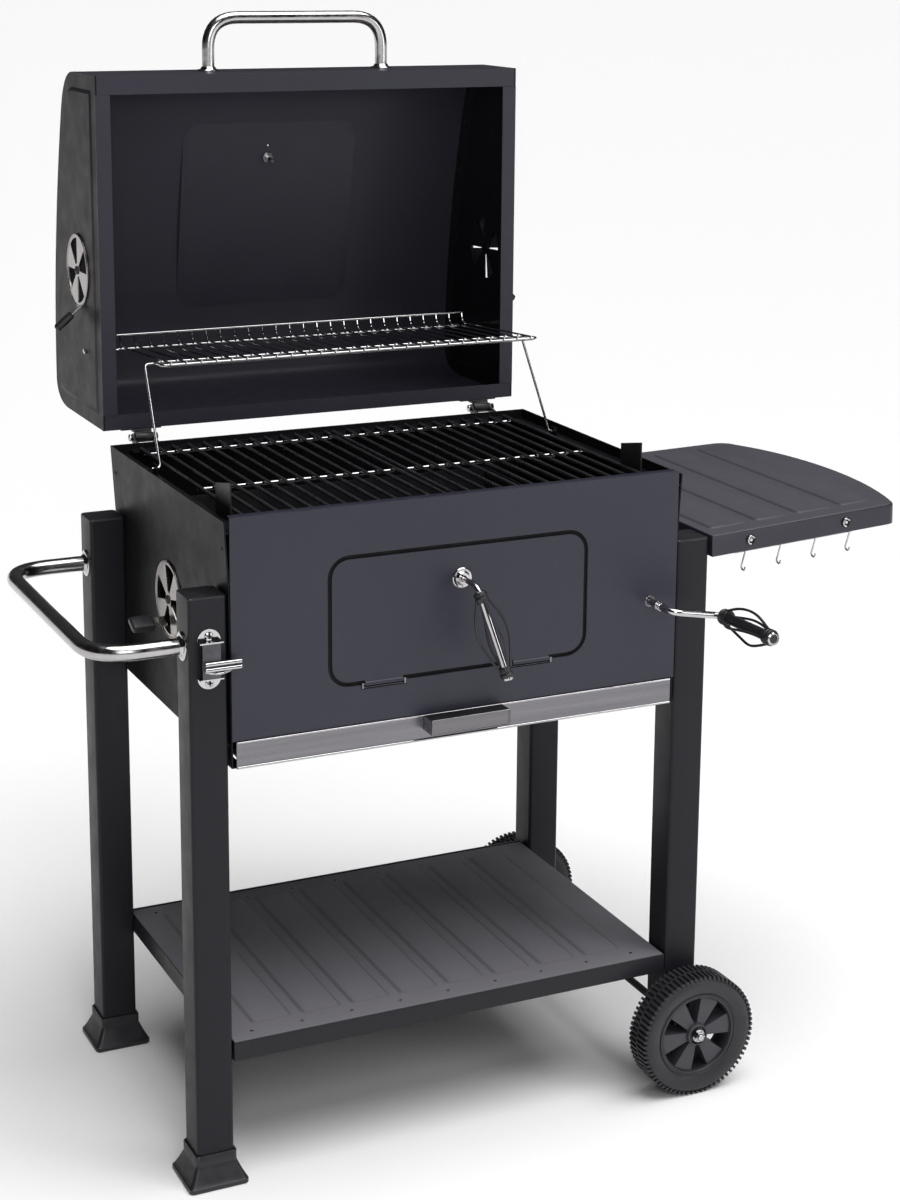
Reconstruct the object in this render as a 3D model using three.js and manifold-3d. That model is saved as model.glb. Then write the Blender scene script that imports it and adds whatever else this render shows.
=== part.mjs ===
// Charcoal grill cart: a square firebox on four legs with a hinged lid, a swinging warming rack, a crank
// that lifts the charcoal tray, an ash drawer, a side table, a push handle and two wheels.
// Millimetres. +X is the wheel side, +Y is the back and +Z is up. The lid is modelled standing open.
import * as THREE from 'three';
import { mergeVertices } from 'three/addons/utils/BufferGeometryUtils.js';
import Module from 'manifold-3d';

const wasm = await Module();
wasm.setup();

// ---------------------------------------------------------------- driving dimensions
const sheet = 2;                       // thickness of the pressed steel
const gap = 0.3;                       // clearance between pieces that rest on each other
const panel = { half: 300, bottom: 568, top: 840, rim: 14 };
const box = { depth: 447, bottom: 534, kink: 748, rim: 835, half: 300, kinkHalf: 301.5, rimHalf: 306.5 };
const ledge = { inner: 283, top: 822, bracket: 287 };     // stiffens the rim and holds the strut brackets
const runner = { inner: 205, top: 588 };                  // carries the lift carriage
const leg = { size: 47, inner: 303, front: 4, rear: 400, top: 744.6, wall: 2, rightBottom: 58 };
const cap = { thickness: 3, plug: 14 };
const foot = { base: 76, lip: 6, flare: 32, top: 42, pocket: 12 };
const wheel = { radius: 83.3, width: 45, x: 326.5, outer: -50.7 };
const axle = { radius: 5, end: 58, nut: 10, bore: 5.4 };
const shelf = { half: 301, front: 4, rear: 427, top: 182.7, lip: 25 };
const door = { x: -3.5, z: 697.8, halfWidth: 169.5, halfHeight: 76.3, corner: 22, slot: 5, pivotY: 1,
  pivotZ: 617 };
const latch = { x: -2.5, z: 735, radius: 3.5 };
const crank = { x: 262, z: 674, radius: 4.5, arm: 75, droop: 10.5, armY: -55, gripEnd: -172, gripRise: 6 };
const tray = { half: 238, front: 22, rear: 428, bottom: 704, top: 760, lift: 50 };
const ear = { x: 277.5, front: 57, rear: 109, top: 867, drop: 11 };
const drawer = { half: 284, frontHalf: 295, rear: 424, top: 563, frontTop: 567.4 };
const table = { inner: 351.5, front: -1, rear: 449, top: 750, lip: 28, corner: 650, bow: 35.6, tilt: 1.7 };
const taper = { front: 22, rear: 9 };                     // how far the table's sides close in by its corners
const rail = { x: 412.4, pitch: 155, back: 9, below: 30, radius: 2, stub: 14, overhang: 18 };
const grate = { inner: 3, outer: 271, front: 14, rear: 434, top: 832.5, rod: 5, rods: 12,
  ties: [24, 203, 414] };
const lid = { half: 305, open: 481, bottom: 847, top: 1317, lip: 20, topLip: 25 };
const lidBack = { heelY: 655, y: 708, low: 880, bowZ: 1060, eaveY: 648, eaveZ: 1255, crownY: 585 };
const hinge = { y: 475, z: 836, x: 252, pin: 4, half: 12, knuckle: 7, leafHalf: 28, leafBottom: 806 };
const rackPivot = { y: 552, z: 944.5 };
const strutFoot = { x: 282, y: 315, z: 830 };
const rack = { half: 262, depth: 219, rise: 14, fence: 18, wire: 3.4, wires: 9 };
const vent = { radius: 50, slots: 4, inner: 0.2, outer: 0.86, spread: 21, shut: 37, tabHalf: 9 };
const lidVent = { y: 574, z: 1052, phase: 68, root: { out: 3.8, y: -16, z: -44 },
  tip: { out: 33, y: -10, z: -74 } };
const boxVent = { y: 222, z: 683, phase: 10, root: { out: 1, y: 14, z: -32 },
  tip: { out: 43, y: 14, z: -32 } };
const sideHandle = { radius: 10, x: -458, z: 684.7, bend: 60 };
const lidHandle = { radius: 8.5, half: 127, y: 547, rise: 71, bend: 45 };
const gauge = { z: 1185, radius: 30, depth: 12, stem: 4, nut: 8 };
const opener = { lugs: [648, 696], radius: 14, jawZ: 671, jawY: -12, reach: 34 };
const pull = { half: 53, bottom: 548, top: 567, front: -24, back: -1.3, wall: 1.6 };
const ramp = { x: 222, low: 600, travel: 100, flat: 20, wall: 4, rear: 342, front: 20, ends: [130, 322],
  play: 1.8 };
const nut = { y: 150, half: 11, reach: 20 };
const hook = { first: 408, pitch: 57, count: 4, wire: 1.2, loop: 3.8, drop: 22, mouth: 4.5 };

const grateSeat = grate.top - grate.rod - gap;          // height of the lips that the grate rods lie on
const frontLegY = leg.front + leg.size / 2;
const rearLegY = leg.rear + leg.size / 2;
const sides = { left: -1, right: 1 };

// ---------------------------------------------------------------- materials
const finish = (color, roughness, metalness) =>
  new THREE.MeshStandardMaterial({ color, roughness, metalness });
const anthracite = () => finish('#3a3b43', 0.5, 0.35);
const darkCoat = () => finish('#1f1f23', 0.6, 0.3);
const chrome = () => finish('#c9c7c4', 0.15, 1);
const stainless = () => finish('#b5b2ae', 0.35, 1);
const plastic = () => finish('#17171a', 0.7, 0);
const enamel = () => finish('#232327', 0.45, 0.4);

// ---------------------------------------------------------------- geometry helpers
const v2 = (x, y) => new THREE.Vector2(x, y);
const v3 = (x, y, z) => new THREE.Vector3(x, y, z);

function toSolid(geometry) {
  const bare = new THREE.BufferGeometry();
  bare.setAttribute('position', geometry.getAttribute('position'));
  bare.setIndex(geometry.index);
  const merged = mergeVertices(bare, 1e-4);
  const vertProperties = Float32Array.from(merged.getAttribute('position').array);
  const triVerts = Uint32Array.from(merged.index.array);
  return new wasm.Manifold(new wasm.Mesh({ numProp: 3, vertProperties, triVerts }));
}

function toGeometry(solid) {
  const mesh = solid.getMesh();
  const geometry = new THREE.BufferGeometry();
  geometry.setAttribute('position', new THREE.BufferAttribute(mesh.vertProperties, 3));
  geometry.setIndex(new THREE.BufferAttribute(mesh.triVerts, 1));
  return geometry;
}

const join = (...pieces) => toGeometry(pieces.map(toSolid).reduce((whole, piece) => whole.add(piece)));
const cut = (body, ...tools) => toGeometry(
  tools.map(toSolid).reduce((whole, tool) => whole.subtract(tool), toSolid(body)));
const ascending = (...values) => values.sort((a, b) => a - b);

function block([x0, x1], [y0, y1], [z0, z1]) {
  const geometry = new THREE.BoxGeometry(x1 - x0, y1 - y0, z1 - z0);
  return geometry.translate((x0 + x1) / 2, (y0 + y1) / 2, (z0 + z1) / 2);
}

// A flat outline pushed from one coordinate to another along the axis that its plane leaves out.
function slab(plane, outline, from, to, holes = []) {
  const shape = new THREE.Shape(outline);
  shape.holes = holes.map((hole) => new THREE.Path(hole));
  const geometry = new THREE.ExtrudeGeometry(shape, { depth: to - from, bevelEnabled: false });
  const [x, y, z] = [v3(1, 0, 0), v3(0, 1, 0), v3(0, 0, 1)];
  const basis = { xy: [x, y, z], yz: [y, z, x], xz: [x, z, y.clone().negate()] }[plane];
  const start = { xy: v3(0, 0, from), yz: v3(from, 0, 0), xz: v3(0, to, 0) }[plane];
  return geometry.applyMatrix4(new THREE.Matrix4().makeBasis(...basis).setPosition(start));
}

const polygon = (radius, count, cx = 0, cy = 0) => Array.from({ length: count }, (_, i) => {
  const angle = (2 * Math.PI * i) / count;
  return v2(cx + radius * Math.cos(angle), cy + radius * Math.sin(angle));
});

const rectangle = (x0, x1, y0, y1) => [v2(x0, y0), v2(x1, y0), v2(x1, y1), v2(x0, y1)];

function roundedRectangle(cx, cy, halfWidth, halfHeight, radius, steps = 6) {
  const corners = [[1, -1, -90], [1, 1, 0], [-1, 1, 90], [-1, -1, 180]];
  return corners.flatMap(([sx, sy, start]) => Array.from({ length: steps + 1 }, (_, i) => {
    const angle = THREE.MathUtils.degToRad(start + (90 * i) / steps);
    const x = cx + sx * (halfWidth - radius) + radius * Math.cos(angle);
    return v2(x, cy + sy * (halfHeight - radius) + radius * Math.sin(angle));
  }));
}

// A straight round bar between two points.
function bar(start, end, radius, count = 10) {
  const geometry = new THREE.CylinderGeometry(radius, radius, start.distanceTo(end), count);
  const turn = new THREE.Quaternion().setFromUnitVectors(v3(0, 1, 0), end.clone().sub(start).normalize());
  return geometry.applyQuaternion(turn).translate(...start.clone().add(end).multiplyScalar(0.5).toArray());
}

// A path that steps from each of its points to the next.
class Route extends THREE.Curve {
  constructor(points) {
    super();
    this.points = points;
  }

  getPoint(t) {
    const place = Math.min(Math.max(t, 0), 1) * (this.points.length - 1);
    const index = Math.min(Math.floor(place), this.points.length - 2);
    return this.points[index].clone().lerp(this.points[index + 1], place - index);
  }

  getUtoTmapping(u) {
    return u;
  }
}

function roundBar(points, radius, count) {
  const section = new THREE.Shape(polygon(radius, count));
  const options = { steps: points.length - 1, extrudePath: new Route(points), bevelEnabled: false };
  return new THREE.ExtrudeGeometry(section, options);
}

// A bent round bar through the given points, with every corner between its ends rounded.
function bentBar(points, radius, bend, count = 8, steps = 5) {
  const corners = points.slice(1, -1).flatMap((corner, i) => {
    const before = corner.clone().add(points[i].clone().sub(corner).setLength(bend));
    const after = corner.clone().add(points[i + 2].clone().sub(corner).setLength(bend));
    return new THREE.QuadraticBezierCurve3(before, corner, after).getPoints(steps);
  });
  return roundBar([points[0], ...corners, points[points.length - 1]], radius, count);
}

// A turned piece: profile points are [radius, height] along the axis from the centre point.
function turned(profile, centre, axis, count = 16) {
  const geometry = new THREE.LatheGeometry(profile.map(([radius, height]) => v2(radius, height)), count);
  const turn = new THREE.Quaternion().setFromUnitVectors(v3(0, 1, 0), axis);
  return geometry.applyQuaternion(turn).translate(...centre.toArray());
}

const ringProfile = (inner, outer, from, to) => [
  [inner, from], [outer, from], [outer, to], [inner, to], [inner, from]];

const grill = new THREE.Group();
function add(name, geometry, material) {
  const mesh = new THREE.Mesh(geometry, material);
  mesh.name = name;
  grill.add(mesh);
}

// ---------------------------------------------------------------- air vents
// Wedge-shaped slots around a centre in the YZ plane.
function ventSlots({ y, z, phase }, turn = 0) {
  const { inner, outer, spread } = vent;
  return Array.from({ length: vent.slots }, (_, i) => {
    const point = (radius, offset) => {
      const angle = THREE.MathUtils.degToRad((360 * i) / vent.slots + phase + turn + offset);
      return v2(y + radius * vent.radius * Math.cos(angle), z + radius * vent.radius * Math.sin(angle));
    };
    return [point(inner, -spread), point(outer, -spread), point(outer, 0), point(outer, spread),
      point(inner, spread)];
  });
}

// The turning disc lies on the wall, with its rivet through the wall and a tab bent outwards.
// The tab's root and tip are offsets from the disc's centre: outwards, along Y and along Z.
function ventDisc(side, wallX, place, turn) {
  const [rivet, head] = [3, 6];
  const at = ({ out, y = 0, z = 0 }) => v3(wallX + side * out, place.y + y, place.z + z);
  const round = polygon(vent.radius, 25, place.y, place.z);
  const disc = slab('yz', round, ...ascending(at({ out: gap }).x, at({ out: gap + sheet }).x),
    ventSlots(place, turn));
  const [root, tip] = [at(place.root), at(place.tip)];
  const tab = block([-vent.tabHalf, vent.tabHalf], [0, root.distanceTo(tip)], [-sheet / 2, sheet / 2]);
  const length = tip.clone().sub(root).normalize();
  const radial = v3(0, -place.root.z, place.root.y).normalize();
  const across = radial.addScaledVector(length, -radial.dot(length)).normalize();
  const matrix = new THREE.Matrix4().makeBasis(across, length,
    across.clone().cross(length)).setPosition(root);
  const pin = bar(at({ out: -5 }), at({ out: 4 }), rivet, 12);
  return join(disc, pin, bar(at({ out: -5 }), at({ out: -3 }), head, 12), tab.applyMatrix4(matrix));
}

// ---------------------------------------------------------------- firebox
function sideWall(side) {
  const outline = [[box.half, box.bottom], [box.kinkHalf, box.kink], [box.rimHalf, box.rim],
    [box.rimHalf - sheet, box.rim], [box.rimHalf - sheet - 0.7, ledge.top], [ledge.inner, ledge.top],
    [ledge.inner, ledge.top - sheet], [box.rimHalf - sheet - 0.8, ledge.top - sheet],
    [box.kinkHalf - sheet, box.kink], [box.half - sheet + 0.4, runner.top], [runner.inner, runner.top],
    [runner.inner, runner.top - sheet], [box.half - sheet + 0.3, runner.top - sheet],
    [box.half - sheet, box.bottom + sheet], [box.half - 14, box.bottom + sheet], [box.half - 14, box.bottom]];
  const points = outline.map(([x, z]) => v2(side * x, z));
  if (side < 0) points.reverse();
  const wall = slab('xz', points, sheet + gap, box.depth - sheet - gap);
  const { y, z } = strutFoot;
  const bracket = block(ascending(side * (ledge.bracket - 1), side * (ledge.bracket + 1)), [y - 8, y + 8],
    [ledge.top - 1, z + 6]);
  const slots = ventSlots(boxVent).map((slot) =>
    slab('yz', slot, side * box.half - 16, side * box.half + 16));
  const rivetAt = (x) => v3(side * x, boxVent.y, boxVent.z);
  const rivetHole = bar(rivetAt(box.half - 10), rivetAt(box.half + 10), 3.3, 12);
  const strutHole = bar(v3(side * (ledge.bracket - 3), y, z), v3(side * (ledge.bracket + 3), y, z), 2.3, 12);
  return cut(join(wall, bracket), ...slots, rivetHole, strutHole);
}

for (const [name, side] of Object.entries(sides)) {
  add(`firebox_${name}_wall`, sideWall(side), anthracite());
}

// A bored lip or wall carries the crank; the front and rear lips carry the cooking grates.
const crankHole = (y) =>
  bar(v3(crank.x, y - 5, crank.z), v3(crank.x, y + 5, crank.z), crank.radius + gap, 16);
const grateLip = (from, to) =>
  block([-ledge.inner + 3, ledge.inner - 3], [from, to], [grateSeat - sheet, grateSeat]);

function rearWall() {
  const right = [[box.half, box.bottom], [box.kinkHalf, box.kink], [box.rimHalf, box.rim]];
  const outline = [...right.map(([x, z]) => v2(x, z)), ...right.reverse().map(([x, z]) => v2(-x, z))];
  const wall = slab('xz', outline, box.depth - sheet, box.depth);
  return cut(join(wall, grateLip(box.depth - 20, box.depth - 1)), crankHole(box.depth));
}
add('firebox_rear_wall', rearWall(), anthracite());

const tabs = [door.x - 102, door.x + 97].map((x) => [x - 25, x + 25]);      // the door's two hinge knuckles
function frontPanel() {
  const opening = roundedRectangle(door.x, door.z, door.halfWidth + door.slot, door.halfHeight + door.slot,
    door.corner + door.slot);
  const plate = slab('xz', rectangle(-panel.half, panel.half, panel.bottom, panel.top), 0, sheet, [opening]);
  const rim = block([-panel.half + 2, panel.half - 2], [1, panel.rim], [panel.top - sheet, panel.top]);
  const notches = tabs.map(([x0, x1]) => block([x0 - 4.5, x1 + 4.5], [-1, sheet + 1],
    [door.pivotZ - 6, door.pivotZ + 2]));
  return cut(join(plate, rim, grateLip(1, 20)), ...notches, crankHole(0));
}
add('front_panel', frontPanel(), anthracite());

// ---------------------------------------------------------------- charcoal door with its turning latch
function charcoalDoor() {
  const { x, z, halfWidth, halfHeight, corner, pivotY, pivotZ } = door;
  const plate = slab('xz', roundedRectangle(x, z, halfWidth, halfHeight, corner), 0, sheet);
  const alongPivot = (x0, x1, radius, count = 12) =>
    bar(v3(x0, pivotY, pivotZ), v3(x1, pivotY, pivotZ), radius, count);
  const knuckles = tabs.map(([x0, x1]) =>
    join(alongPivot(x0, x1, 3), block([x0, x1], [0, sheet], [pivotZ, pivotZ + 6])));
  const bores = tabs.map(([x0, x1]) => alongPivot(x0 - 1, x1 + 1, 1.6));
  const shaftHole = bar(v3(latch.x, -5, latch.z), v3(latch.x, 5, latch.z), latch.radius + gap, 16);
  return cut(join(plate, ...knuckles), ...bores, shaftHole);
}
add('charcoal_door', charcoalDoor(), anthracite());

tabs.forEach(([x0, x1], i) => {
  const { pivotY, pivotZ } = door;
  const back = sheet + 1.8;
  const leaf = block([x0 - 4, x1 + 4], [sheet + gap, back], [pivotZ - 20, pivotZ - 5]);
  const lugs = [[x0 - 4, x0 - 1.5], [x1 + 1.5, x1 + 4]].map((span) => block(span, [-0.6, back],
    [pivotZ - 5.6, pivotZ + 1.5]));
  const pin = bar(v3(x0 - 3, pivotY, pivotZ), v3(x1 + 3, pivotY, pivotZ), 1.2, 8);
  add(`door_hinge_${['left', 'right'][i]}`, join(leaf, ...lugs, pin), darkCoat());
});

const latchBend = v3(latch.x, -44, latch.z);
const latchEnd = v3(latch.x + 22, -72, latch.z - 111);
function doorHandle() {
  const rod = bentBar([v3(latch.x, 16, latch.z), latchBend, latchEnd], latch.radius, 14);
  const tongue = block([latch.x - 8, latch.x + 8], [9, 11.5], [latch.z - 8, latch.z + 36]);
  return join(rod, tongue);
}
add('door_handle', doorHandle(), chrome());
add('door_rosette', turned(ringProfile(latch.radius + gap, 10, 0, 4), v3(latch.x, -gap, latch.z),
  v3(0, -1, 0)),
  chrome());

// A barrel-shaped grip with a bore, around a rod from one point to another.
function barrelGrip(start, end, bore) {
  const length = start.distanceTo(end);
  const [collar, collarLength, waist, belly] = [8, 14, 14, 17];
  const profile = [[bore, 0], [collar, 0], [collar, collarLength], [waist, 0.32 * length],
    [belly, 0.5 * length],
    [waist, 0.68 * length], [collar, length - collarLength], [collar, length], [bore, length], [bore, 0]];
  return turned(profile, start, end.clone().sub(start).normalize(), 16);
}
const latchAlong = (t) => latchBend.clone().lerp(latchEnd, t);
add('door_grip', barrelGrip(latchAlong(0.17), latchAlong(0.96), latch.radius + gap), plastic());

// ---------------------------------------------------------------- crank, lift carriage and charcoal tray
const droop = THREE.MathUtils.degToRad(crank.droop);
const crankEnd = { x: crank.x + crank.arm * Math.cos(droop), z: crank.z - crank.arm * Math.sin(droop) };
const gripAt = (y) => v3(crankEnd.x, y,
  crankEnd.z + (crank.gripRise * (crank.armY - y)) / (crank.armY - crank.gripEnd));
add('crank_shaft', bentBar([v3(crank.x, box.depth + 3, crank.z), v3(crank.x, crank.armY, crank.z),
  gripAt(crank.armY), gripAt(crank.gripEnd)], crank.radius, 14), chrome());
add('crank_grip', barrelGrip(gripAt(crank.armY - 14), gripAt(crank.gripEnd + 5), crank.radius + gap),
  plastic());

// Twin ramps on each side carry the tray's feet; the nut block runs on the crank's thread.
const rampTop = ramp.low + tray.lift;
function liftCarriage() {
  const bottom = runner.top + gap;
  const outline = [v2(ramp.front, bottom), v2(ramp.rear, bottom),
    ...[...ramp.ends].reverse().flatMap((end) => [
    v2(end + ramp.flat, ramp.low), v2(end + ramp.flat, rampTop), v2(end, rampTop),
      v2(end - ramp.travel, ramp.low)])];
  const rails = [-1, 1].map((side) =>
    slab('yz', outline, side * ramp.x - ramp.wall / 2, side * ramp.x + ramp.wall / 2));
  const ties = [60, 250].map((y) => block([-ramp.x, ramp.x], [y, y + 20], [bottom, bottom + 4]));
  const across = [nut.y - 10, nut.y + 10];
  const nutBlock = block([crank.x - nut.half, crank.x + nut.half], [nut.y - nut.reach, nut.y + nut.reach],
    [crank.z - nut.half, crank.z + nut.half]);
  const arm = block([ramp.x, crank.x + nut.half], across, [ramp.low - 8, ramp.low - 2]);
  const post = block([crank.x - 3, crank.x + 3], across, [ramp.low - 4, crank.z - nut.half + 1]);
  const thread = bar(v3(crank.x, nut.y - 30, crank.z), v3(crank.x, nut.y + 30, crank.z), crank.radius + gap,
    16);
  return cut(join(...rails, ...ties, nutBlock, arm, post), thread);
}
add('lift_carriage', liftCarriage(), darkCoat());

function charcoalTray() {
  const { half, front, rear, bottom, top } = tray;
  const floor = block([-half, half], [front, rear], [bottom, bottom + sheet]);
  const [slots, slotPitch, slotWidth] = [9, 50, 14];
  const airSlots = Array.from({ length: slots }, (_, i) => {
    const x = slotPitch * (i - (slots - 1) / 2);
    return block([x - slotWidth / 2, x + slotWidth / 2], [front + 48, rear - 48],
      [bottom - 1, bottom + sheet + 1]);
  });
  const walls = [
    block([-half, half], [front, front + sheet], [bottom, top]),
    block([-half, half], [rear - sheet, rear], [bottom, top]),
    block([-half, -half + sheet], [front, rear], [bottom, top]),
    block([half - sheet, half], [front, rear], [bottom, top])];
  const hangers = [-1, 1].flatMap((side) => {
    const outline = [v2(ear.front, top - sheet), v2(ear.rear, top - sheet), v2(ear.rear, ear.top - ear.drop),
      v2(ear.front, ear.top)];
    const arm = block(ascending(side * (half - 1), side * (ear.x + 1)), [ear.front, ear.rear],
      [top - sheet, top]);
    return [slab('yz', outline, side * ear.x - 1, side * ear.x + 1), arm];
  });
  const feet = ramp.ends.flatMap((end) => [-1, 1].map((side) => block(
    [side * ramp.x - 6, side * ramp.x + 6], [end - 14, end], [rampTop + ramp.play, bottom + 1])));
  return cut(join(floor, ...walls, ...hangers, ...feet), ...airSlots);
}
add('charcoal_tray', charcoalTray(), darkCoat());

// ---------------------------------------------------------------- ash drawer
function ashDrawer() {
  const { half, frontHalf, rear: end, top, frontTop } = drawer;
  const bottom = box.bottom + sheet + gap;
  const front = block([-frontHalf, frontHalf], [-1, 1], [box.bottom, frontTop]);
  const floor = block([-half, half], [0, end], [bottom, bottom + sheet]);
  const rear = block([-half, half], [end - sheet, end], [bottom, top]);
  const flanks = [-half, half - sheet].map((x) => block([x, x + sheet], [0, end], [bottom, top]));
  return join(front, floor, rear, ...flanks);
}
add('ash_drawer', ashDrawer(), stainless());

// A folded channel, open at the bottom, that the fingers pull from below.
function drawerPull() {
  const { half, bottom, top, front, back, wall } = pull;
  const outline = [v2(back, bottom + 2), v2(back, top), v2(front, top), v2(front, bottom),
    v2(front + wall, bottom),
    v2(front + wall, top - wall), v2(back - wall, top - wall), v2(back - wall, bottom + 2)];
  return slab('yz', outline, -half, half);
}
add('ash_drawer_pull', drawerPull(), stainless());

// ---------------------------------------------------------------- legs, caps, feet, shelf
function legTube(x, y, bottom) {
  const outer = rectangle(x, x + leg.size, y, y + leg.size);
  const inner = rectangle(x + leg.wall, x + leg.size - leg.wall, y + leg.wall, y + leg.size - leg.wall);
  return slab('xy', outer, bottom, leg.top, [inner]);
}

function legCap(x, y) {
  const inset = leg.wall + gap;
  const top = block([x, x + leg.size], [y, y + leg.size], [leg.top + gap, leg.top + cap.thickness]);
  const plug = block([x + inset, x + leg.size - inset], [y + inset, y + leg.size - inset],
    [leg.top - cap.plug, leg.top + 1]);
  return join(top, plug);
}

// Stacked squares: a base with an upright lip, a flare and a collar, with a pocket for the leg.
function footBlock(cx, cy) {
  const collar = leg.size / 2 + 2.5;
  const height = foot.flare - foot.lip;
  const frustum = new THREE.CylinderGeometry(collar * Math.SQRT2, (foot.base / 2) * Math.SQRT2, height, 4);
  frustum.rotateX(Math.PI / 2).rotateZ(Math.PI / 4).translate(cx, cy, (foot.flare + foot.lip) / 2);
  const spread = foot.base / 2;
  const base = block([cx - spread, cx + spread], [cy - spread, cy + spread], [0, foot.lip]);
  const neck = block([cx - collar, cx + collar], [cy - collar, cy + collar], [foot.flare - 1, foot.top]);
  const half = leg.size / 2 + gap;
  const pocket = block([cx - half, cx + half], [cy - half, cy + half], [foot.pocket - gap, foot.top + 1]);
  return cut(join(base, frustum, neck), pocket);
}

for (const [sideName, side] of Object.entries(sides)) {
  const x = side < 0 ? -leg.inner - leg.size : leg.inner;
  for (const [endName, y] of [['front', leg.front], ['rear', leg.rear]]) {
    const centre = v3(x + leg.size / 2, y + leg.size / 2, wheel.radius);
    const tube = legTube(x, y, side < 0 ? foot.pocket : leg.rightBottom);
    const axleHole = bar(centre.clone().setY(y - 5), centre.clone().setY(y + leg.size + 5),
      axle.radius + gap, 16);
    add(`leg_${endName}_${sideName}`, side < 0 ? tube : cut(tube, axleHole), anthracite());
    add(`leg_cap_${endName}_${sideName}`, legCap(x, y), plastic());
    if (side < 0) add(`foot_${endName}`, footBlock(centre.x, centre.y), plastic());
  }
}

function bottomShelf() {
  const { half, front, rear, top } = shelf;
  const plate = block([-half, half], [front, rear], [top - sheet, top]);
  const lips = [
    block([-half, half], [front, front + sheet], [top - shelf.lip, top]),
    block([-half, half], [rear - sheet, rear], [top - shelf.lip, top + 1]),
    block([-half, -half + sheet], [front, rear], [top - shelf.lip, top]),
    block([half - sheet, half], [front, rear], [top - shelf.lip, top])];
  return join(plate, ...lips);
}
add('bottom_shelf', bottomShelf(), anthracite());

// ---------------------------------------------------------------- wheels and axle
const rearWheelOuter = leg.front + leg.rear + leg.size - wheel.outer;
add('axle', bar(v3(wheel.x, leg.front - axle.end, wheel.radius),
  v3(wheel.x, leg.rear + leg.size + axle.end, wheel.radius), axle.radius, 16), stainless());

// From the hub's outer face over the dished web, the rim and the tread, and back to the bore.
const wheelProfile = [[axle.bore, 5], [13, 5], [13, 12], [56, 12], [60, 2], [80, 0], [wheel.radius, 6],
  [wheel.radius, wheel.width - 6], [80, wheel.width], [60, wheel.width - 2], [56, 30], [16, 30],
    [16, wheel.width],
  [axle.bore, wheel.width], [axle.bore, 5]];
const nutBore = (axle.radius + gap) / Math.cos(Math.PI / 6);
for (const [name, outer, inward] of [['front', wheel.outer, 1], ['rear', rearWheelOuter, -1]]) {
  const [centre, axis] = [v3(wheel.x, outer, wheel.radius), v3(0, inward, 0)];
  add(`wheel_${name}`, turned(wheelProfile, centre, axis, 24), plastic());
  add(`axle_nut_${name}`, turned(ringProfile(nutBore, axle.nut, -2.5, 4.7), centre, axis, 6), chrome());
}

// ---------------------------------------------------------------- push handle on the left legs
const handleRoot = -leg.inner - leg.size - gap;
const handleCorner = (x, y) => v3(x, y, sideHandle.z);
add('side_handle', bentBar([handleCorner(handleRoot, frontLegY), handleCorner(sideHandle.x, frontLegY),
  handleCorner(sideHandle.x, rearLegY), handleCorner(handleRoot, rearLegY)], sideHandle.radius,
    sideHandle.bend, 10, 6),
stainless());
for (const [name, y] of [['front', frontLegY], ['rear', rearLegY]]) {
  const rosette = turned(ringProfile(sideHandle.radius + gap, 17, 0, 5), handleCorner(handleRoot, y),
    v3(-1, 0, 0));
  add(`side_handle_rosette_${name}`, rosette, chrome());
}

// ---------------------------------------------------------------- bottle opener on the front left leg
function bottleOpener() {
  const { lugs, radius, jawZ, jawY, reach } = opener;
  const x = -leg.inner - leg.size / 2;
  const [y0, y1] = [leg.front - gap - sheet, leg.front - gap];
  const plates = lugs.map((z) => slab('xz', polygon(radius, 20, x, z), y0, y1));
  const web = block([x - 9, x + 9], [y0, y1], lugs);
  const neck = block([x - 9, x + 9], [-2, y1 - 0.5], [jawZ, jawZ + 3]);
  const jaw = block([x - 12, x + reach], [jawY, -1], [jawZ, jawZ + 3]);
  const tooth = block([x - 12, x + reach], [jawY, jawY + 2], [jawZ - 5, jawZ + 3]);
  return join(...plates, web, neck, jaw, tooth);
}
add('bottle_opener', bottleOpener(), chrome());

// ---------------------------------------------------------------- side table with its hook rail
const outShare = (x) => (x - table.inner) / (table.corner - table.inner);
const frontLipY = (x) => table.front + taper.front * outShare(x);
const rearLipY = (x) => table.rear - taper.rear * outShare(x);

// The table's top outline, drawn in by an inset: tapered sides and a bowed outer edge with round corners.
function tableOutline(inset) {
  const [x0, x1, outer] = [table.inner + inset, table.corner - inset,
    table.corner + table.bow / 0.75 - inset];
  const [frontRound, rearRound, bend] = [12, 24, 130];
  const frontY = (x) => frontLipY(x) + inset;
  const rearY = (x) => rearLipY(x) - inset;
  const shape = new THREE.Shape();
  shape.moveTo(x0, frontY(x0));
  shape.lineTo(x1 - frontRound, frontY(x1 - frontRound));
  shape.quadraticCurveTo(x1, frontY(x1), x1 + 4, frontY(x1) + frontRound);
  shape.bezierCurveTo(outer, frontY(x1) + bend, outer, rearY(x1) - bend, x1, rearY(x1) - rearRound);
  shape.quadraticCurveTo(x1 - 5, rearY(x1), x1 - rearRound - 5, rearY(x1 - rearRound - 5));
  shape.lineTo(x0, rearY(x0));
  return shape.getPoints(6);
}

const tilt = THREE.MathUtils.degToRad(table.tilt);
const tableSurface = (x) => table.top + Math.tan(tilt) * (x - table.inner);
const railEnds = [rail.x, rail.x + rail.pitch];

function sideTable() {
  const shell = cut(slab('xy', tableOutline(0), -table.lip, 0),
    slab('xy', tableOutline(sheet), -table.lip - 1, -sheet));
  const tiltUp = new THREE.Matrix4().makeRotationY(-tilt);
  shell.translate(-table.inner, 0, 0).applyMatrix4(tiltUp).translate(table.inner, 0, table.top);
  const holes = railEnds.map((x) => {
    const z = tableSurface(x) - rail.stub;
    return bar(v3(x, frontLipY(x) - 4, z), v3(x, frontLipY(x) + 6, z), rail.radius + 2 * gap, 12);
  });
  return cut(shell, ...holes);
}
add('side_table', sideTable(), anthracite());

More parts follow.
